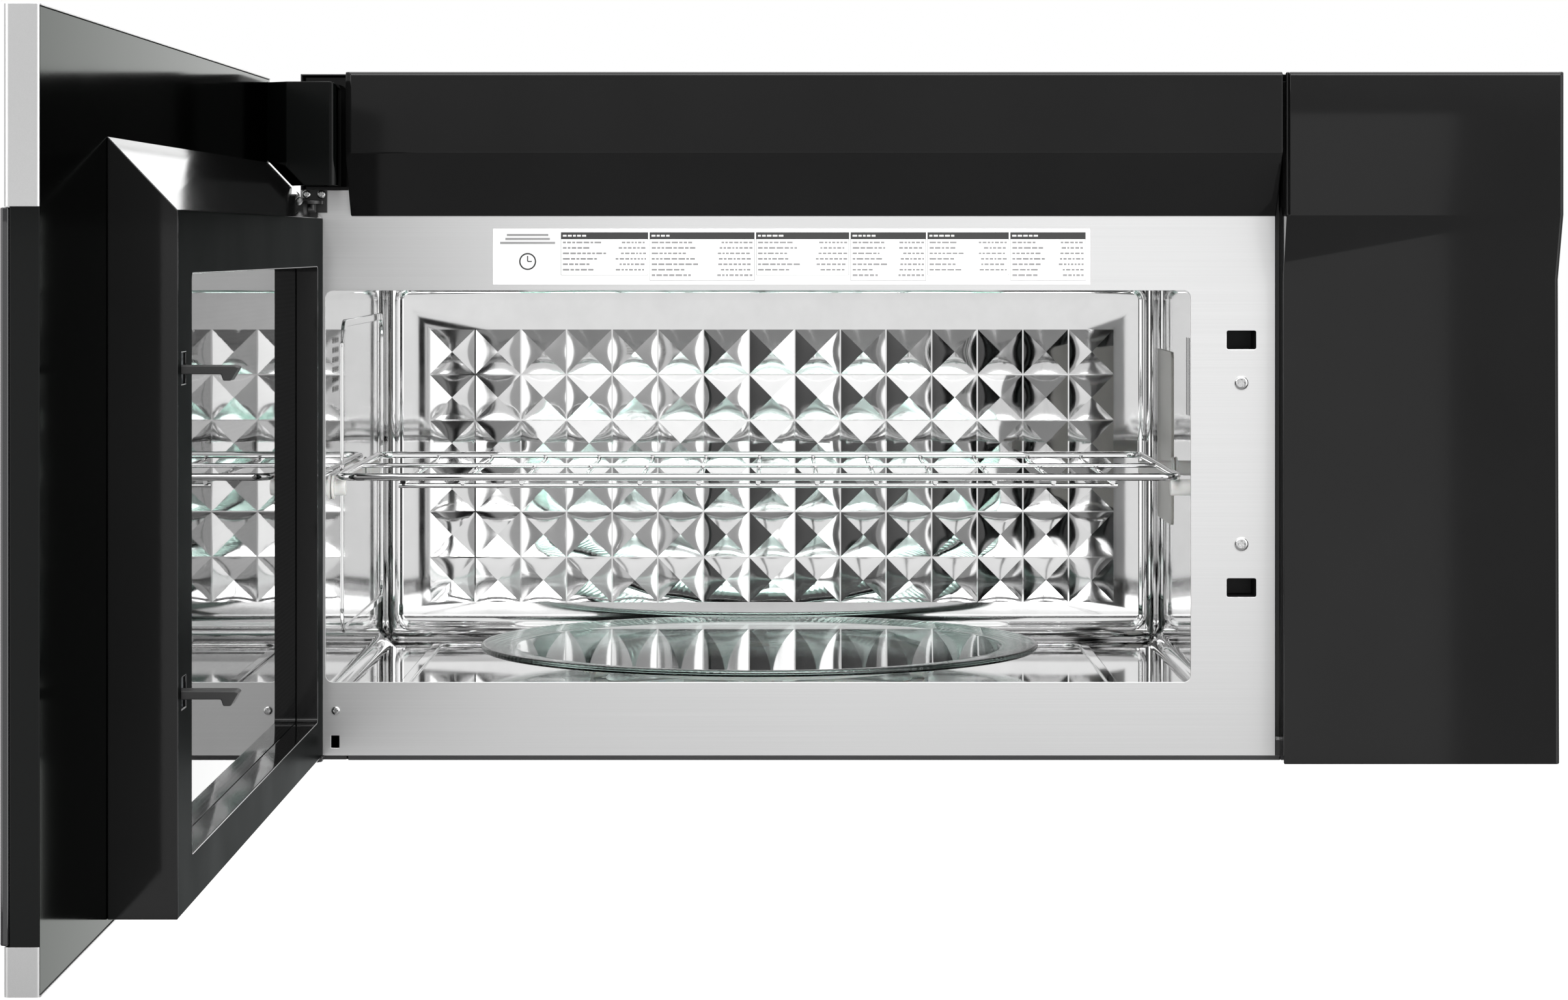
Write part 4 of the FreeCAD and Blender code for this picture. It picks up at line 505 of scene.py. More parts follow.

# %% [markdown]
# ## The pieces
# A finished piece sits at the origin with its place in its mesh, rides on the body that carries
# it, and gets its finish. Shading is smooth inside gentle curves and breaks at real edges, and a
# weighted normal keeps large flat panels flat right up to their rounded corners, so gloss doesn't
# smear across them.

# %% A built mesh becomes a piece
def new_piece(name, bm, finish, body, smooth=30, stands_for=None, flat_panels=True):
    """Link a bmesh as an object with its finish and its body."""
    mesh = bpy.data.meshes.new(name)
    bm.to_mesh(mesh)
    bm.free()
    return finish_piece(name, mesh, finish, body, smooth, stands_for, flat_panels)


def finish_piece(name, mesh, finish, body, smooth=30, stands_for=None, flat_panels=True):
    """The same for a mesh that is already made."""
    mesh.materials.clear()
    mesh.materials.append(finishes[finish])
    mesh.shade_smooth()
    mesh.set_sharp_from_angle(angle=math.radians(smooth))
    piece = bpy.data.objects.new(name, mesh)
    scene.collection.objects.link(piece)
    if flat_panels:
        weights = piece.modifiers.new("flat_panels_stay_flat", "WEIGHTED_NORMAL")
        weights.keep_sharp = True
    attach(piece, body)
    if stands_for:
        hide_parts(stands_for)
    return piece


# %% [markdown]
# ### Rolled edges
# No sheet or moulding ends in a knife edge, and the thin bright line along a rounded edge is
# what makes metal and gloss look real. The CAD solids have sharp edges, so each outer piece is
# copied, its loose triangles are merged into clean faces, and every edge where two faces meet at
# more than 30 degrees gets a small round. The radius is the one the real part would have: a
# quarter of a millimetre on pressed steel, more on a moulding. A moulding may also have zones of
# another gloss: the door's frame round the window is satin, and its top slope is a mirror.

# %% Round the sharp edges of a CAD piece
weld_distance = 0.02 * mm
sharp_angle = math.radians(30)


def soften(name, radius, finish=None, pick=None, segments=2, zones=()):
    """Replace a node with a copy whose sharp edges are rounded. The radius is in millimetres,
    and pick says which edges. Each zone is a finish and a test of a face."""
    bm = bmesh.new()
    bm.from_mesh(nodes[name].data)
    bmesh.ops.remove_doubles(bm, verts=bm.verts, dist=weld_distance)
    bmesh.ops.dissolve_limit(bm, angle_limit=math.radians(1), verts=bm.verts, edges=bm.edges)
    sharp = [edge for edge in bm.edges if len(edge.link_faces) == 2
             and edge.calc_face_angle(0) > sharp_angle
             and (pick is None or pick((edge.verts[0].co + edge.verts[1].co) / 2))]
    if sharp:
        bmesh.ops.bevel(bm, geom=sharp, offset=radius * mm, segments=segments, profile=0.5,
                        affect="EDGES", clamp_overlap=False)
    piece = new_piece(f"{name}_rounded", bm, finish or slot_of[name], body_of[name],
                      stands_for=name)
    for zone_finish, holds in zones:
        piece.data.materials.append(finishes[zone_finish])
        for face in piece.data.polygons:
            if holds(face):
                face.material_index = len(piece.data.materials) - 1
    return piece


edge_radius = {
    "front_plate": 0.25, "upper_fascia": 0.7, "right_fascia": 0.8, "door_front_glass": 0.7,
    "door_top_trim": 0.15, "door_bottom_trim": 0.15, "latch_hooks": 0.5, "outer_case": 0.2,
    "base_pan": 0.25, "top_vent_grille": 0.3, "exhaust_adapter": 0.25, "damper_flap": 0.2,
    "rack_supports": 0.9, "rear_panel": 0.25, "wall_mounting_plate": 0.3, "cord_bushing": 0.6,
    "door_hinge_bushes": 0.3, "grease_filter_left": 0.3, "grease_filter_right": 0.3,
}
for name, radius in edge_radius.items():
    soften(name, radius)
soften("hinge_brackets", 0.3, finish="hinge_steel")
clear_of_hinge = -500 * mm


def on_free_end(face):
    """A face at the free end of the open door, which looks to the front."""
    return face.normal.y < -0.5


def on_window_side(face):
    """The flat frame round the window of the open door."""
    return face.normal.x > 0.95


def on_top_slope(face):
    """The slope above the window, without its short piece at the hinge."""
    return face.normal.x > 0.5 and face.normal.z > 0.5 and face.center.y < clear_of_hinge


soften("door_back_cover", 0.5, finish="door_black", zones=(("door_end", on_free_end),))
soften("door_choke_cover", 0.6, zones=(("window_bezel", on_window_side),
                                       ("door_mirror", on_top_slope)))
print("rounded pieces:", len(edge_radius) + 3)

# %% [markdown]
# ## The cavity
# The cavity is drawn and pressed from bright sheet. Its walls meet in rounded corners, the floor
# carries a raised bead, and the back is a field of shallow four sided pyramids that scatter the
# waves. The pyramids are the most telling surface of the whole oven, because each facet mirrors
# another direction.

# %% The inside faces of the cavity
sheet = 0.8 * mm
wall_face = high["cavity_back_wall"].y - sheet
pyramid_rise = wall_face - low["cavity_back_wall"].y
wall_left = low["cavity_left_wall"].x + sheet
wall_right = low["cavity_right_wall"].x
floor_face = low["cavity_back_wall"].z + sheet
roof_face = high["cavity_roof"].z - sheet
cavity_front = low["cavity_roof"].y
tray_middle = (low["glass_tray"] + high["glass_tray"]) / 2
cavity_size = (wall_right - wall_left, wall_face - cavity_front, roof_face - floor_face)
print("cavity, mm:", [round(length / mm, 1) for length in cavity_size])

# %% [markdown]
# ### Walls and floor
# The side walls and the floor keep their CAD shapes. On the floor and the left wall only the edges
# of the raised beads are rounded, well away from the small lamp holes and slots, which stay crisp.
# The right wall, the roof and the waveguide cover get a very small round on every sharp edge.

# %% Round the beads of the floor and the side walls
bead_start, front_strip = 1.0 * mm, 14 * mm
soften("cavity_floor", 1.1, segments=3, pick=lambda place: place.y > cavity_front + front_strip
       and place.z > floor_face + bead_start + 0.3 * mm)
soften("cavity_left_wall", 0.8, segments=3, pick=lambda place: place.x > wall_left + bead_start)
for name in ("cavity_right_wall", "cavity_roof", "waveguide_cover"):
    soften(name, 0.15)

# %% [markdown]
# ### The back wall
# A pyramid pressed into sheet has slightly crowned facets, and a narrow flat groove runs between
# neighbours. The height is a formula on a grid: it falls evenly from the tip to the base, plus a
# crown that is zero at the tip, the ridges and the base. The grid's own diagonals are turned to
# lie on the ridges, so these stay straight. A rounded bead frames the field.

# %% Heights of the pyramid field
pyramid_pitch, groove, crown = 32 * mm, 1 * mm, 0.7 * mm
columns, rows, steps = 15, 6, 12
field_x = tray_middle.x + 8 * mm
field_z = (floor_face + roof_face) / 2 - 6 * mm


def field_lines(count, centre):
    """Grid lines across the pyramids: both edges of each one and the steps between them."""
    start = centre - count * pyramid_pitch / 2 + groove / 2
    run = np.linspace(0, pyramid_pitch - groove, steps + 1)
    return np.concatenate([start + i * pyramid_pitch + run for i in range(count)])


def pyramid_heights():
    """How far each grid point stands out of the sheet."""
    across = np.tile(np.linspace(-1, 1, steps + 1), columns)[:, None]
    along = np.tile(np.linspace(-1, 1, steps + 1), rows)[None, :]
    outer = np.maximum(abs(across), abs(along))
    inner = np.minimum(abs(across), abs(along))
    return (pyramid_rise * (1 - outer) + crown * (outer ** 2 - inner ** 2) * (1 - outer),
            across, along)


# %% The pressed field as faces
def add_field(bm):
    """The pyramids and the grooves between them. Returns the edges of the outline."""
    xs, zs = field_lines(columns, field_x), field_lines(rows, field_z)
    heights, across, along = pyramid_heights()
    points = [[bm.verts.new((x, wall_face - heights[i, j], z)) for j, z in enumerate(zs)]
              for i, x in enumerate(xs)]
    for i in range(len(xs) - 1):
        for j in range(len(zs) - 1):
            a, b, c, d = points[i][j], points[i + 1][j], points[i + 1][j + 1], points[i][j + 1]
            lean = (across[i, 0] + across[i + 1, 0]) * (along[0, j] + along[0, j + 1])
            if lean > 0:
                bm.faces.new((a, b, c))
                bm.faces.new((a, c, d))
            else:
                bm.faces.new((a, b, d))
                bm.faces.new((b, c, d))
    return [edge for edge in bm.edges if len(edge.link_faces) == 1]


def rounded_rectangle(x0, x1, z0, z1, radius, arc=8):
    """Points round a rectangle with rounded corners, always the same number of them."""
    corners = ((x1, z1, 0), (x0, z1, 90), (x0, z0, 180), (x1, z0, 270))
    points = []
    for x, z, turn in corners:
        centre_x = x - math.copysign(radius, x - (x0 + x1) / 2)
        centre_z = z - math.copysign(radius, z - (z0 + z1) / 2)
        for k in range(arc + 1):
            angle = math.radians(turn + 90 * k / arc)
            points.append((centre_x + radius * math.cos(angle),
                           centre_z + radius * math.sin(angle)))
    return points


# %% The border bead and the whole back wall
bead_inset, bead_half, bead_rise, bead_corner = 9 * mm, 4 * mm, 1.9 * mm, 9 * mm


def add_border(bm):
    """Rings from the wall's rim inwards over the bead. Returns the innermost ring's edges."""
    rings = [(0, 0, 0.5 * mm)]
    for k in range(-8, 9):
        share = k / 8
        rise = bead_rise * (0.5 + 0.5 * math.cos(math.pi * share))
        rings.append((bead_inset + share * bead_half, rise, bead_corner - share * bead_half))
    loops = []
    for inset, rise, radius in rings:
        outline = rounded_rectangle(wall_left - sheet + inset, wall_right + sheet - inset,
                                    floor_face - sheet + inset, roof_face + sheet - inset, radius)
        loops.append([bm.verts.new((x, wall_face - rise, z)) for x, z in outline])
    for outer, inner in zip(loops, loops[1:]):
        for k in range(len(outer)):
            after = (k + 1) % len(outer)
            bm.faces.new((outer[k], inner[k], inner[after], outer[after]))
    last = loops[-1]
    return [bm.edges.get((last[k], last[(k + 1) % len(last)])) for k in range(len(last))]


bm = bmesh.new()
outline = add_field(bm)
outline += add_border(bm)
bmesh.ops.triangle_fill(bm, edges=outline, normal=(0, -1, 0))
bmesh.ops.recalc_face_normals(bm, faces=bm.faces)
rim_face = max(bm.faces, key=lambda face: face.calc_area())
if rim_face.normal.y > 0:
    bmesh.ops.reverse_faces(bm, faces=bm.faces)
bmesh.ops.solidify(bm, geom=bm.faces[:], thickness=sheet)
back_wall = new_piece("pressed_back_wall", bm, "cavity_steel", ROOT, smooth=11,
                      stands_for="cavity_back_wall", flat_panels=False)
depths = [vertex.co.y / mm for vertex in back_wall.data.vertices]
print("back wall:", len(back_wall.data.polygons), "faces, y from", round(min(depths), 2), "to",
      round(max(depths), 2))

# %% [markdown]
# ### Rounded corners
# Two walls of a drawn box meet in a quarter round. Each one is a long prism that fills the
# corner and has a hollow face, made from the corner line and the two directions along the walls.

# %% Quarter rounds along the corners of the cavity
corner_radius = 9 * mm
AXIS_X, AXIS_Y, AXIS_Z = Vector((1, 0, 0)), Vector((0, 1, 0)), Vector((0, 0, 1))


def add_corner(bm, start, end, first, second, arc=10):
    """A prism in the corner line from start to end. Both directions point away from it."""
    section = [Vector()]
    for k in range(arc + 1):
        angle = math.pi / 2 * k / arc
        section.append((first * (1 - math.cos(angle)) + second * (1 - math.sin(angle)))
                       * corner_radius)
    ends = [[bm.verts.new(place + point) for point in section] for place in (start, end)]
    count = len(section)
    for k in range(count):
        after = (k + 1) % count
        bm.faces.new((ends[0][k], ends[0][after], ends[1][after], ends[1][k]))
    bm.faces.new(ends[0])
    bm.faces.new(ends[1])


bm = bmesh.new()
floor_front = cavity_front + 12 * mm
for x, inward in ((wall_left, AXIS_X), (wall_right, -AXIS_X)):
    add_corner(bm, Vector((x, wall_face, floor_face)), Vector((x, wall_face, roof_face)),
               inward, -AXIS_Y)
    add_corner(bm, Vector((x, floor_front, floor_face)), Vector((x, wall_face, floor_face)),
               inward, AXIS_Z)
    add_corner(bm, Vector((x, cavity_front, roof_face)), Vector((x, wall_face, roof_face)),
               inward, -AXIS_Z)
for z, upward in ((floor_face, AXIS_Z), (roof_face, -AXIS_Z)):
    add_corner(bm, Vector((wall_left, wall_face, z)), Vector((wall_right, wall_face, z)),
               -AXIS_Y, upward)
bmesh.ops.recalc_face_normals(bm, faces=bm.faces)
new_piece("cavity_corner_rounds", bm, "cavity_steel", ROOT, flat_panels=False)

# %% [markdown]
# ## Glass tray
# The turntable tray is one turned shape, so its section is drawn once and swept round. The rim
# is a bead of glass, and that is what shows as a bright green line from the front, because the
# light runs a long way inside the glass there. Three lugs under the middle drop into the coupler.

# %% Turn the tray from its section
tray_radius = (high["glass_tray"].x - low["glass_tray"].x) / 2
rim_top, plate_thick, rim_radius = 6.2 * mm, 4 * mm, 2 * mm
tray_base = high["glass_tray"].z - rim_top
flat_radius = tray_radius - 23.5 * mm
rim_r, rim_z = tray_radius - rim_radius, rim_top - rim_radius
section = [(0, 0), (flat_radius - 3 * mm, 0), (flat_radius, 0.15 * mm),
           (flat_radius + 3 * mm, 0.5 * mm)]
section += [(rim_r + rim_radius * math.sin(math.radians(turn)),
             rim_z - rim_radius * math.cos(math.radians(turn))) for turn in range(20, 181, 16)]
section += [(rim_r - 2 * mm, rim_top - 0.1 * mm), (flat_radius + 4 * mm, plate_thick + 0.5 * mm),
            (flat_radius + 1 * mm, plate_thick + 0.1 * mm), (flat_radius - 2 * mm, plate_thick),
            (0, plate_thick)]


def circle_steps(count):
    """Even angles round a full turn."""
    return [2 * math.pi * k / count for k in range(count)]


def turned(bm, profile, centre, base, count):
    """Sweep a section round a vertical axis and close it at both poles."""
    rings = []
    for radius, z in profile:
        if radius == 0:
            rings.append([bm.verts.new((centre.x, centre.y, base + z))])
            continue
        rings.append([bm.verts.new((centre.x + radius * math.cos(angle),
                                    centre.y + radius * math.sin(angle), base + z))
                      for angle in circle_steps(count)])
    for lower, upper in zip(rings, rings[1:]):
        for k in range(count):
            after = (k + 1) % count
            corners = (lower[k % len(lower)], lower[after % len(lower)],
                       upper[after % len(upper)], upper[k % len(upper)])
            bm.faces.new(dict.fromkeys(corners))


bm = bmesh.new()
turned(bm, section, tray_middle, tray_base, 144)
lug_circle, lug_radius, lug_drop, lug_edge = 19 * mm, 2.5 * mm, 3.5 * mm, 0.4 * mm
lug_section = [(0, -lug_drop), (lug_radius - lug_edge, -lug_drop),
               (lug_radius, lug_edge - lug_drop), (lug_radius, 0), (0, 0)]
for k in range(3):
    angle = math.radians(120 * k + 60)
    lug = tray_middle + Vector((math.cos(angle), math.sin(angle), 0)) * lug_circle
    turned(bm, lug_section, lug, tray_base, 20)
bmesh.ops.recalc_face_normals(bm, faces=bm.faces)
new_piece("turned_glass_tray", bm, "clear_glass", body_of["glass_tray"],
          stands_for="glass_tray", flat_panels=False)
print("tray across, mm:", round(2 * tray_radius / mm, 1))

# %% [markdown]
# ## Bent wire
# The rack is one thick wire bent to a rounded frame, with thinner wires welded across it. The
# grease filters carry a fine mesh of crossing wires. Both are lines that repeat, which is what
# Geometry Nodes do best: a line is drawn once, copied on a row of points and thickened. The
# trees below are built in the script and their sizes come in as named inputs.

# %% A small writer for geometry trees
class Tree:
    """A Geometry Nodes tree with named number inputs."""

    def __init__(self, name):
        self.group = bpy.data.node_groups.new(name, "GeometryNodeTree")
        self.group.interface.new_socket("Geometry", in_out="OUTPUT",
                                        socket_type="NodeSocketGeometry")
        self.start = self.group.nodes.new("NodeGroupInput")
        self.identifiers = {}

    def size(self, name, kind="NodeSocketFloat"):
        """A named input of the tree."""
        item = self.group.interface.new_socket(name, in_out="INPUT", socket_type=kind)
        self.identifiers[name] = item.identifier
        return self.start.outputs[name]

    def node(self, kind, settings=None, out=0, **inputs):
        """Any node: settings first, then the values or links of its sockets."""
        node = self.group.nodes.new(kind)
        for key, value in (settings or {}).items():
            setattr(node, key, value)
        for key, value in inputs.items():
            socket = named_socket(node, key)
            if isinstance(value, bpy.types.NodeSocket):
                self.group.links.new(value, socket)
            else:
                socket.default_value = value
        return node.outputs[out]

    def math(self, operation, a, b=0.0):
        """A Math node."""
        return self.node("ShaderNodeMath", {"operation": operation}, i0=a, i1=b)

    def minus(self, value):
        """A value with its sign turned."""
        return self.math("MULTIPLY", value, -1.0)

    def vector(self, x=0.0, y=0.0, z=0.0):
        """Three numbers as one vector."""
        return self.node("ShaderNodeCombineXYZ", X=x, Y=y, Z=z)

    def join(self, *pieces):
        """All geometry together."""
        joined = self.group.nodes.new("GeometryNodeJoinGeometry")
        for piece in pieces:
            self.group.links.new(piece, joined.inputs[0])
        return joined.outputs[0]

    def end(self, geometry, finish):
        """Realise, give the finish and close the tree."""
        real = self.node("GeometryNodeRealizeInstances", Geometry=geometry)
        coloured = self.node("GeometryNodeSetMaterial", Geometry=real, Material=finishes[finish])
        last = self.group.nodes.new("NodeGroupOutput")
        self.group.links.new(coloured, last.inputs[0])

    def made(self, name, carrier=None, **sizes):
        """Run the tree on an object and return the plain mesh."""
        mesh = carrier or bpy.data.meshes.new(name)
        holder = bpy.data.objects.new(name, mesh)
        scene.collection.objects.link(holder)
        modifier = holder.modifiers.new("tree", "NODES")
        modifier.node_group = self.group
        for key, value in sizes.items():
            modifier[self.identifiers[key.replace("_", " ")]] = value
        evaluated = holder.evaluated_get(bpy.context.evaluated_depsgraph_get())
        result = bpy.data.meshes.new_from_object(evaluated)
        bpy.data.objects.remove(holder)
        return result


# %% Rows of straight wires
def wire(tree, start, end, radius, sides=10):
    """One round wire with closed ends."""
    line = tree.node("GeometryNodeCurvePrimitiveLine", Start=start, End=end)
    section = tree.node("GeometryNodeCurvePrimitiveCircle", Resolution=sides, Radius=radius)
    return tree.node("GeometryNodeCurveToMesh", Curve=line, Profile_Curve=section, Fill_Caps=True)


def wire_row(tree, one, count, step, first):
    """Copies of a wire on a row of points."""
    row = tree.node("GeometryNodeMeshLine", Count=count, Start_Location=first, Offset=step)
    return tree.node("GeometryNodeInstanceOnPoints", Points=row, Instance=one)


def centred_row(tree, one, count, pitch, along_x):
    """A row that is centred on the origin."""
    gaps = tree.math("SUBTRACT", count, 1.0)
    half = tree.math("MULTIPLY", gaps, tree.math("MULTIPLY", pitch, -0.5))
    step = tree.vector(x=pitch) if along_x else tree.vector(y=pitch)
    first = tree.vector(x=half) if along_x else tree.vector(y=half)
    return wire_row(tree, one, count, step, first)


# %% The rack
rack = Tree("bent_wire_rack")
width, depth = rack.size("Width"), rack.size("Depth")
corner, thick, thin = rack.size("Corner"), rack.size("Frame wire"), rack.size("Cross wire")
pitch, count = rack.size("Pitch"), rack.size("Count", "NodeSocketInt")
sink = rack.size("Weld")
frame_line = rack.node("GeometryNodeCurvePrimitiveQuadrilateral", Width=width, Height=depth)
bent = rack.node("GeometryNodeFilletCurve", {"mode": "POLY"}, Curve=frame_line, Count=10,
                 Radius=corner)
thick_section = rack.node("GeometryNodeCurvePrimitiveCircle", Resolution=20, Radius=thick)
frame_wire = rack.node("GeometryNodeCurveToMesh", Curve=bent, Profile_Curve=thick_section)
drop = rack.math("SUBTRACT", sink, rack.math("ADD", thick, thin))
half_depth = rack.math("MULTIPLY", depth, 0.5)
half_width = rack.math("MULTIPLY", width, 0.5)
cross = wire(rack, rack.vector(y=rack.minus(half_depth), z=drop),
             rack.vector(y=half_depth, z=drop), thin, 12)
cross_row = centred_row(rack, cross, count, pitch, True)
spine = wire(rack, rack.vector(x=rack.minus(half_width)), rack.vector(x=half_width), thin, 12)
brace_drop = rack.math("ADD", drop, rack.math("ADD", rack.math("MULTIPLY", thin, -2.0), sink))
brace_inset = 3.1 * mm
brace_back = rack.math("ADD", rack.minus(half_depth), brace_inset)
brace_half = rack.math("ADD", rack.math("MULTIPLY", rack.math("SUBTRACT", count, 1.0),
                                        rack.math("MULTIPLY", pitch, 0.5)),
                       rack.math("MULTIPLY", thin, 2.0))
brace = wire(rack, rack.vector(rack.minus(brace_half), brace_back, brace_drop),
             rack.vector(brace_half, brace_back, brace_drop), thin, 12)
rack.end(rack.join(frame_wire, cross_row, spine, brace), "chrome_wire")

frame_radius, cross_radius = 2.3 * mm, 1.5 * mm
wire_pitch, end_room = 36 * mm, 24 * mm
rack_low, rack_high = low["wire_rack"], high["wire_rack"]
rack_width = rack_high.x - rack_low.x - 2 * frame_radius
rack_depth = rack_high.y - rack_low.y - 2 * frame_radius
rack_mesh = rack.made("rack", Width=rack_width, Depth=rack_depth, Corner=12 * mm,
                      Frame_wire=frame_radius, Cross_wire=cross_radius, Pitch=wire_pitch,
                      Count=int((rack_width - end_room) // wire_pitch), Weld=0.7 * mm)
rack_mesh.transform(Matrix.Translation(((rack_low.x + rack_high.x) / 2,
                                        (rack_low.y + rack_high.y) / 2,
                                        rack_high.z - frame_radius)))
finish_piece("bent_wire_rack", rack_mesh, "chrome_wire", ROOT, smooth=40,
             stands_for="wire_rack", flat_panels=False)
print("rack:", len(rack_mesh.polygons), "faces")

# %% The mesh of both grease filters
mesh_tree = Tree("filter_mesh")
width, depth = mesh_tree.size("Width"), mesh_tree.size("Depth")
pitch, radius = mesh_tree.size("Pitch"), mesh_tree.size("Wire")
half_width = mesh_tree.math("MULTIPLY", width, 0.5)
half_depth = mesh_tree.math("MULTIPLY", depth, 0.5)
lift = mesh_tree.math("MULTIPLY", radius, 1.6)
along_y = wire(mesh_tree, mesh_tree.vector(y=mesh_tree.minus(half_depth)),
               mesh_tree.vector(y=half_depth), radius, 6)
along_x = wire(mesh_tree, mesh_tree.vector(x=mesh_tree.minus(half_width), z=lift),
               mesh_tree.vector(x=half_width, z=lift), radius, 6)
count_x = mesh_tree.math("FLOOR", mesh_tree.math("DIVIDE", width, pitch))
count_y = mesh_tree.math("FLOOR", mesh_tree.math("DIVIDE", depth, pitch))
mesh_tree.end(mesh_tree.join(centred_row(mesh_tree, along_y, count_x, pitch, True),
                             centred_row(mesh_tree, along_x, count_y, pitch, False)),
              "aluminium_mesh")
filter_rim, wires_above_base = 9 * mm, 1.0 * mm
for name in ("grease_filter_left", "grease_filter_right"):
    a, b = low[name], high[name]
    wires = mesh_tree.made(name + "_wires", Width=b.x - a.x - 2 * filter_rim,
                           Depth=b.y - a.y - 2 * filter_rim, Pitch=3.2 * mm, Wire=0.35 * mm)
    wires.transform(Matrix.Translation(((a.x + b.x) / 2, (a.y + b.y) / 2,
                                        a.z + wires_above_base)))
    finish_piece(name + "_wires", wires, "aluminium_mesh", body_of[name],
                 smooth=70, flat_panels=False)
    print(name, "mesh faces:", len(wires.polygons))

# %% [markdown]
# ## Screws
# Every screw of the case, the plate and the hinges is a loose island in one CAD node. Their
# places and directions are read from the islands' boxes. One screw with a domed head and a cross
# recess is built once, and a tree copies it to all the places.

# %% Find the screws in their node
def islands(node):
    """The connected parts of a node, as lists of corner points."""
    bm = bmesh.new()
    bm.from_mesh(nodes[node].data)
    bmesh.ops.remove_doubles(bm, verts=bm.verts, dist=weld_distance)
    left = set(bm.verts)
    found = []
    while left:
        queue = [left.pop()]
        members = []
        while queue:
            vertex = queue.pop()
            members.append(vertex.co.copy())
            for edge in vertex.link_edges:
                other = edge.other_vert(vertex)
                if other in left:
                    left.remove(other)
                    queue.append(other)
        found.append(np.array(members))
    bm.free()
    return found


def head_of(points):
    """Head centre, outward direction and head radius of one screw. The head is at the end that
    reaches farthest from the axis."""
    low_corner, high_corner = points.min(0), points.max(0)
    middle_point = (low_corner + high_corner) / 2
    best = None
    for axis in range(3):
        across = [k for k in range(3) if k != axis]
        for side, end in ((-1, low_corner[axis]), (1, high_corner[axis])):
            near_end = points[abs(points[:, axis] - end) < 0.05 * mm]
            reach = np.hypot(*(near_end[:, across] - middle_point[across]).T).max()
            spread_out = np.ptp(points[:, across], axis=0)
            if abs(spread_out[0] - spread_out[1]) < 0.1 * mm and (best is None or reach > best[0]):
                best = (reach, axis, side, end)
    reach, axis, side, end = best
    direction = np.zeros(3)
    direction[axis] = side
    across = [k for k in range(3) if k != axis]
    far = np.hypot(*(points[:, across] - middle_point[across]).T)
    centre = middle_point.copy()
    centre[axis] = end
    return centre, direction, far.max()


screw_places = [head_of(points) for points in islands("screws")]
print("screws:", len(screw_places), "head radii, mm:",
      sorted({round(float(place[2]) / mm, 1) for place in screw_places}))

# %% One screw of unit head radius
def unit_screw():
    """A domed head with a cross recess and a shank below it. The head's radius is 1."""
    bm = bmesh.new()
    arm, reach, deep, count = 0.16, 0.55, 0.22, 40
    cross = [(arm, arm), (arm, reach), (-arm, reach), (-arm, arm), (-reach, arm), (-reach, -arm),
             (-arm, -arm), (-arm, -reach), (arm, -reach), (arm, -arm), (reach, -arm), (reach, arm)]
    top = [bm.verts.new((x, y, 0)) for x, y in cross]
    bottom = [bm.verts.new((x * 0.75, y * 0.75, -deep)) for x, y in cross]
    for k in range(12):
        after = (k + 1) % 12
        bm.faces.new((top[k], top[after], bottom[after], bottom[k]))
    bm.faces.new(bottom)
    rings = []
    for radius, z in ((0.72, 0), (0.88, -0.06), (0.97, -0.15), (1.0, -0.26), (1.0, -0.38),
                      (0.42, -0.38), (0.42, -2.0), (0.3, -2.2)):
        rings.append([bm.verts.new((radius * math.cos(2 * math.pi * k / count),
                                    radius * math.sin(2 * math.pi * k / count), z))
                      for k in range(count)])
    for upper, lower in zip(rings, rings[1:]):
        for k in range(count):
            after = (k + 1) % count
            bm.faces.new((upper[k], lower[k], lower[after], upper[after]))
    bm.faces.new(rings[-1])
    rim_edges = [bm.edges.get((rings[0][k], rings[0][(k + 1) % count])) for k in range(count)]
    cross_edges = [bm.edges.get((top[k], top[(k + 1) % 12])) for k in range(12)]
    bmesh.ops.triangle_fill(bm, edges=rim_edges + cross_edges, normal=(0, 0, 1))
    bmesh.ops.recalc_face_normals(bm, faces=bm.faces)
    mesh = bpy.data.meshes.new("unit_screw")
    bm.to_mesh(mesh)
    bm.free()
    return mesh


# %% Copy the screw to every place
screw_tree = Tree("screws_on_points")
points_in = screw_tree.size("Places", "NodeSocketObject")
one_screw = screw_tree.size("Screw", "NodeSocketObject")
stored = "GeometryNodeInputNamedAttribute"
facing = screw_tree.node(stored, {"data_type": "FLOAT_VECTOR"}, Name="facing")
head_size = screw_tree.node(stored, {"data_type": "FLOAT"}, Name="head")
turn = screw_tree.node("FunctionNodeAlignRotationToVector", {"axis": "Z"}, Vector=facing)
places = screw_tree.node("GeometryNodeObjectInfo", out="Geometry", Object=points_in)
shape = screw_tree.node("GeometryNodeObjectInfo", out="Geometry", Object=one_screw)
copies = screw_tree.node("GeometryNodeInstanceOnPoints", Points=places, Instance=shape,
                         Rotation=turn, Scale=head_size)
screw_tree.end(copies, "screw_steel")


def place_object(name, mesh):
    """A helper object for a tree, which is removed afterwards."""
    holder = bpy.data.objects.new(name, mesh)
    scene.collection.objects.link(holder)
    return holder


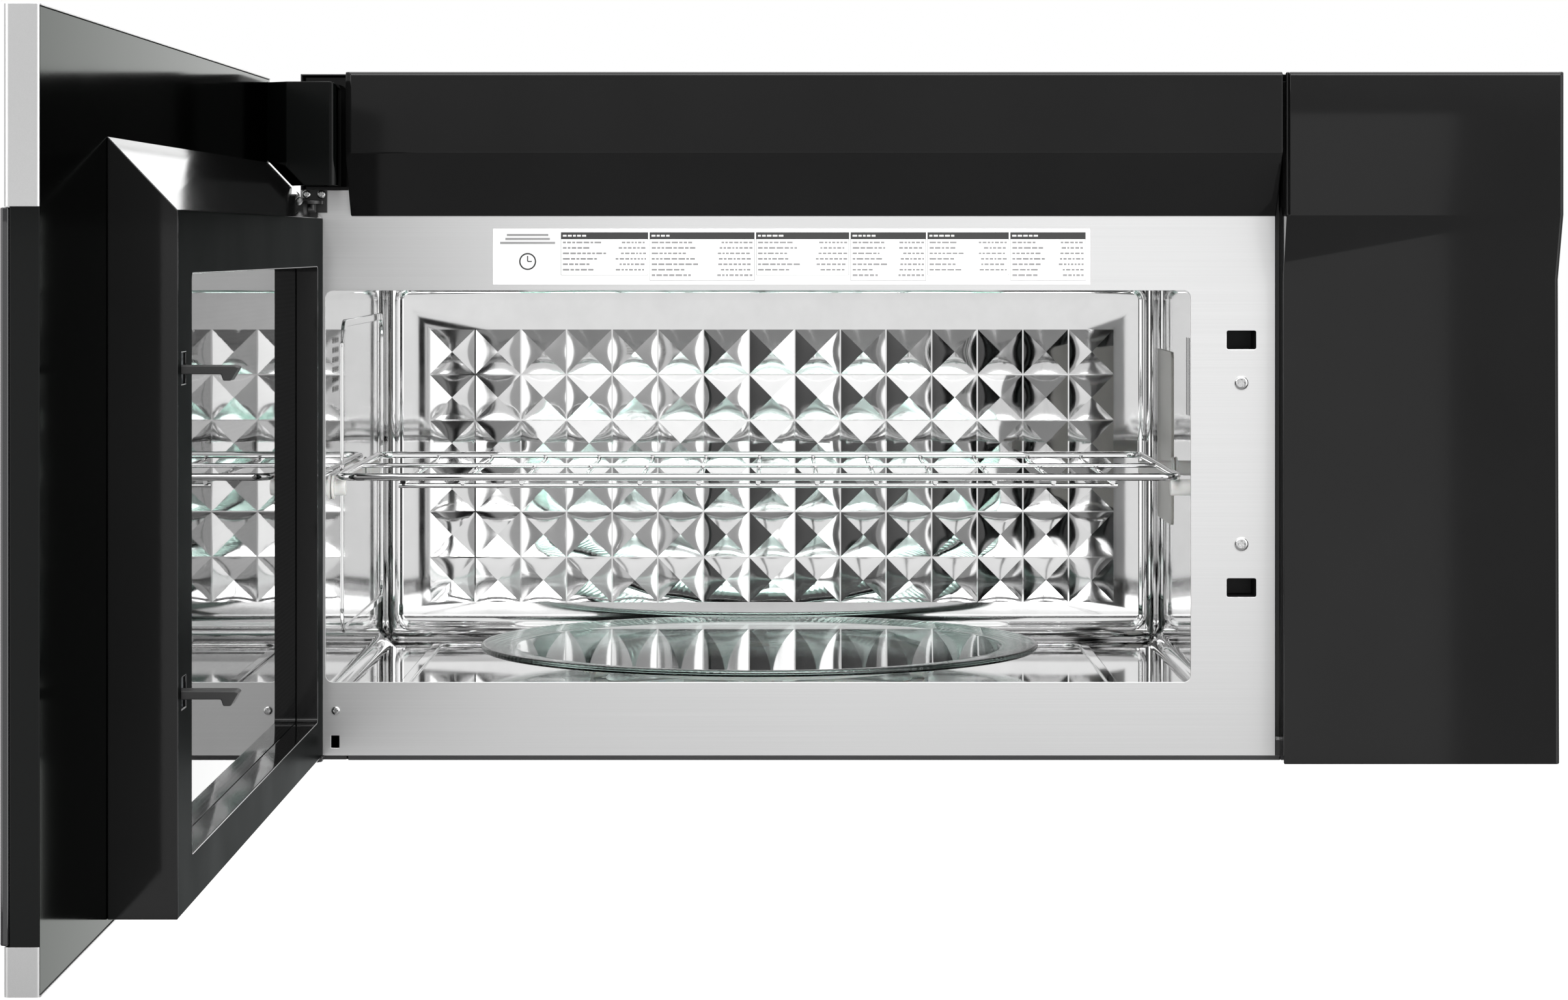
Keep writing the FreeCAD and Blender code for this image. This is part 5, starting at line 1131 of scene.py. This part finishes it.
point_mesh = bpy.data.meshes.new("screw_places")
point_mesh.from_pydata([tuple(place[0]) for place in screw_places], [], [])
point_mesh.attributes.new("facing", "FLOAT_VECTOR", "POINT").data.foreach_set(
    "vector", np.concatenate([place[1] for place in screw_places]))
point_mesh.attributes.new("head", "FLOAT", "POINT").data.foreach_set(
    "value", [float(place[2]) for place in screw_places])
helpers = [place_object("screw_points", point_mesh), place_object("screw_shape", unit_screw())]
screw_mesh = screw_tree.made("screws", Places=helpers[0], Screw=helpers[1])
for helper in helpers:
    bpy.data.objects.remove(helper)
finish_piece("cross_head_screws", screw_mesh, "screw_steel", ROOT, smooth=35,
             stands_for="screws", flat_panels=False)
print("screw faces:", len(screw_mesh.polygons))

# %% [markdown]
# ## Printing
# The label above the cavity and the touch panel on the door's outer glass are printed. A print
# is a layer a few hundredths of a millimetre thick, so each mark is a very thin slab that stands
# proud of its ground. The words of a real label aren't copied: rows of dashes under dark
# headers read as small print from the camera, and their lengths come from a seeded random draw.

# %% Thin printed marks
ink = 0.04 * mm


def add_mark(bm, corners, outward):
    """A printed patch: its corners lie on the ground, and outward is the ink's thickness."""
    ground = [bm.verts.new(corner) for corner in corners]
    surface = [bm.verts.new(Vector(corner) + outward) for corner in corners]
    count = len(corners)
    bm.faces.new(ground[::-1])
    bm.faces.new(surface)
    for k in range(count):
        after = (k + 1) % count
        bm.faces.new((ground[k], ground[after], surface[after], surface[k]))


def add_bar(bm, x0, x1, z0, z1, y):
    """A rectangular mark on a face that looks to the front."""
    add_mark(bm, [(x0, y, z0), (x1, y, z0), (x1, y, z1), (x0, y, z1)], Vector((0, -ink, 0)))


def add_disc(bm, x, z, y, radius, inner=0.0, count=28):
    """A dot, or a ring when it has an inner radius, on a face that looks to the front."""
    angles = circle_steps(count)
    if not inner:
        add_mark(bm, [(x + radius * math.cos(a), y, z + radius * math.sin(a)) for a in angles],
                 Vector((0, -ink, 0)))
        return
    for a, b in zip(angles, angles[1:] + angles[:1]):
        b = b if b else 2 * math.pi
        add_mark(bm, [(x + inner * math.cos(a), y, z + inner * math.sin(a)),
                      (x + radius * math.cos(a), y, z + radius * math.sin(a)),
                      (x + radius * math.cos(b), y, z + radius * math.sin(b)),
                      (x + inner * math.cos(b), y, z + inner * math.sin(b))], Vector((0, -ink, 0)))


# %% The quick guide label
random.seed(11)
label_low, label_high = low["quick_guide_label"], high["quick_guide_label"]
label_face = label_low.y
label_width = label_high.x - label_low.x
dark, small, pale = bmesh.new(), bmesh.new(), bmesh.new()
header, row_pitch, letter_height, hairline = 4.2 * mm, 3.3 * mm, 1.15 * mm, 0.25 * mm
margin, column_gap = 1.8 * mm, 0.9 * mm
shares = (0.11, 0.15, 0.18, 0.16, 0.13, 0.14, 0.13)
edge = label_low.x + margin
for column, share in enumerate(shares):
    left_x = edge
    right_x = left_x + share * (label_width - 2 * margin) - column_gap
    edge = right_x + column_gap
    head_z = label_high.z - 2.2 * mm
    if column == 0:
        clock_x, clock_z, hand = (left_x + right_x) / 2, label_low.z + 14 * mm, 0.35 * mm
        add_disc(dark, clock_x, clock_z, label_face, 5.2 * mm, 4.3 * mm)
        add_bar(dark, clock_x - hand, clock_x + hand, clock_z, clock_z + 3.4 * mm, label_face)
        add_bar(dark, clock_x, clock_x + 2.6 * mm, clock_z - hand, clock_z + hand, label_face)
        for k in range(3):
            reach = random.uniform(0.45, 0.9) * (right_x - left_x) / 2
            z = head_z - 1.0 * mm - k * 2.4 * mm
            add_bar(small, clock_x - reach, clock_x + reach, z - 1.3 * mm, z, label_face)
        continue
    add_bar(dark, left_x, right_x, head_z - header, head_z, label_face)
    word = left_x + 1.2 * mm
    word_end = left_x + random.uniform(0.18, 0.34) * (right_x - left_x)
    while word < word_end:
        step = random.uniform(1.4, 3.0) * mm
        add_bar(pale, word, word + step, head_z - 2.6 * mm, head_z - 1.6 * mm, label_face - ink)
        word += step + 0.8 * mm
    foot = label_low.z + 2.4 * mm + column % 2 * row_pitch
    for x in (left_x, right_x - hairline):
        add_bar(small, x, x + hairline, foot, head_z - header, label_face)
    add_bar(small, left_x, right_x, foot, foot + hairline, label_face)
    z = head_z - header - 1.4 * mm
    while z - 1.2 * mm > foot + 1.0 * mm:
        x = left_x + 1.2 * mm
        words_end = left_x + random.uniform(0.3, 0.5) * (right_x - left_x)
        while x < words_end:
            step = random.uniform(1.6, 4.2) * mm
            add_bar(small, x, min(x + step, words_end + 1 * mm), z - letter_height, z, label_face)
            x += step + 0.7 * mm
        x = left_x + random.uniform(0.62, 0.7) * (right_x - left_x)
        while x < right_x - 2.2 * mm:
            step = random.uniform(1.2, 2.8) * mm
            add_bar(small, x, min(x + step, right_x - 1.2 * mm), z - letter_height, z, label_face)
            x += step + 0.7 * mm
        z -= row_pitch
for name, marks, finish in (("label_headers", dark, "print_black"),
                            ("label_small_print", small, "print_grey"),
                            ("label_header_words", pale, "print_white")):
    bmesh.ops.recalc_face_normals(marks, faces=marks.faces)
    new_piece(name, marks, finish, ROOT, flat_panels=False)
print("label marks on", round(label_width / mm, 1), "mm of paper")

# %% [markdown]
# ### Touch panel
# The controls sit on the free end of the door, in front of the board behind the glass. They are
# laid out as seen with the door shut, and then swung open by the same quarter turn that the
# hinge makes: what is to the right of the hinge pin comes to lie in front of it.

# %% From the shut door to the open door
pin_x, pin_y = -371.6 * mm, -413.0 * mm
swing = (Matrix.Translation((pin_x, pin_y, 0)) @ Matrix.Rotation(math.radians(-90), 4, "Z")
         @ Matrix.Translation((-pin_x, -pin_y, 0)))


def shut(place):
    """Where a point of the open door lies when the door is shut."""
    return swing.inverted() @ Vector(place)


panel_low, panel_high = low["user_interface_board"], high["user_interface_board"]
panel_left = shut((panel_low.x, panel_high.y, 0)).x
panel_right = shut((panel_low.x, panel_low.y, 0)).x
glass_front = shut((low["door_front_glass"].x, 0, 0)).y
key_low, key_high = low["door_front_glass"].z + 22 * mm, high["door_front_glass"].z - 22 * mm
panel_middle = (panel_left + panel_right) / 2
print("touch panel, shut: x", round(panel_left / mm, 1), "to", round(panel_right / mm, 1),
      "glass at y", round(glass_front / mm, 1))

# %% Keys, figures and the display
marks, screen = bmesh.new(), bmesh.new()
key_pitch, row_gap, line = 26 * mm, 19 * mm, 0.35 * mm


def add_outline(bm, x0, x1, z0, z1, y, thick):
    """A thin rectangular line."""
    add_bar(bm, x0, x1, z0, z0 + thick, y)
    add_bar(bm, x0, x1, z1 - thick, z1, y)
    add_bar(bm, x0, x0 + thick, z0 + thick, z1 - thick, y)
    add_bar(bm, x1 - thick, x1, z0 + thick, z1 - thick, y)


half_screen = 41 * mm
add_bar(screen, panel_middle - half_screen, panel_middle + half_screen, key_high - 26 * mm,
        key_high, glass_front)
key_z, key_step = key_high - 44 * mm, 17 * mm
for row in range(3):
    for column in (-1, 0, 1):
        x, z = panel_middle + column * key_pitch, key_z - row * key_step
        add_outline(marks, x - 10.5 * mm, x + 10.5 * mm, z - 5 * mm, z + 5 * mm, glass_front, line)
        reach = (4.5 + 1.5 * ((row + column) % 3)) * mm
        add_bar(marks, x - reach, x + reach, z - 0.5 * mm, z + 0.5 * mm, glass_front)
figures_top = key_z - 3 * key_step - 8 * mm
start_z = figures_top - 4 * row_gap - 4 * mm
start_x, stop_x, half_square = panel_middle + key_pitch, panel_middle - key_pitch, 2.8 * mm
for x in (start_x, stop_x):
    add_disc(marks, x, start_z, glass_front, 8.5 * mm, 7.9 * mm)
add_mark(marks, [(start_x - 2.2 * mm, glass_front, start_z - 3.4 * mm),
                 (start_x + 3.6 * mm, glass_front, start_z),
                 (start_x - 2.2 * mm, glass_front, start_z + 3.4 * mm)], Vector((0, -ink, 0)))
add_bar(marks, stop_x - half_square, stop_x + half_square, start_z - half_square,
        start_z + half_square, glass_front)


def figure(text, x, z, height):
    """A figure of the keypad as a thin mesh, upright and facing the front."""
    curve = bpy.data.curves.new("figure", "FONT")
    curve.body, curve.size, curve.extrude = text, height, ink / 2
    curve.align_x, curve.align_y = "CENTER", "CENTER"
    holder = bpy.data.objects.new("figure", curve)
    scene.collection.objects.link(holder)
    evaluated = holder.evaluated_get(bpy.context.evaluated_depsgraph_get())
    mesh = bpy.data.meshes.new_from_object(evaluated)
    bpy.data.objects.remove(holder)
    mesh.transform(Matrix.Translation((x, glass_front - ink / 2, z))
                   @ Matrix.Rotation(math.radians(90), 4, "X"))
    return mesh


for number in range(10):
    column, row = ((number - 1) % 3 - 1, (number - 1) // 3) if number else (0, 3)
    marks.from_mesh(figure(str(number), panel_middle + column * key_pitch,
                           figures_top - row * row_gap, 10 * mm))
for name, bm, finish in (("touch_panel_print", marks, "print_white"),
                         ("touch_panel_display", screen, "display_glass")):
    bmesh.ops.recalc_face_normals(bm, faces=bm.faces)
    bmesh.ops.transform(bm, matrix=swing, verts=bm.verts)
    new_piece(name, bm, finish, DOOR, flat_panels=False)
print("keypad reaches from z", round((start_z - 9 * mm) / mm), "to", round(key_high / mm), "mm")

# %% [markdown]
# ## Light in the cavity and the floor
# Bright sheet needs something to mirror. A small lamp under the roof lights the facets from
# inside, as the cavity's own lamp does. The pale floor stays out of the reflections, because in
# a studio the oven hangs high above it. A face of the floor that is seen from below lets the eye
# through, so the underside of the oven can be looked at too.

# %% Cavity lamp and floor
glow_y = -230 * mm
soft_box("cavity_glow", (tray_middle.x, glow_y, roof_face - 4 * mm),
         (tray_middle.x, glow_y, floor_face), 0.36, 0.20, 0.22)
bm = bmesh.new()
bmesh.ops.create_grid(bm, x_segments=8, y_segments=8, size=30)
floor_mesh = bpy.data.meshes.new("studio_floor")
bm.to_mesh(floor_mesh)
bm.free()
floor = bpy.data.objects.new("studio_floor", floor_mesh)
floor_height = -0.62
floor.location.z = floor_height
floor.visible_glossy = False
pale_floor = Finish("pale_floor", Roughness=0.9)
speckle = pale_floor.noise(3.0, 2.0)
pale_floor.drive("Base Color", pale_floor.ramp(speckle, (0.0, grey(0.93)), (1.0, grey(0.96))))
pale_skin = Number(pale_floor.tree, pale_floor.skin.outputs[0])
seen_from_below = pale_floor.node("ShaderNodeNewGeometry", out="Backfacing")
one_sided = pale_floor.node("ShaderNodeMixShader", Fac=seen_from_below, i1=pale_skin,
                            i2=pale_floor.node("ShaderNodeBsdfTransparent"))
join_socket(pale_floor.tree, pale_floor.tree.nodes["Material Output"].inputs[0], one_sided)
floor_mesh.materials.append(pale_floor.material)
scene.collection.objects.link(floor)
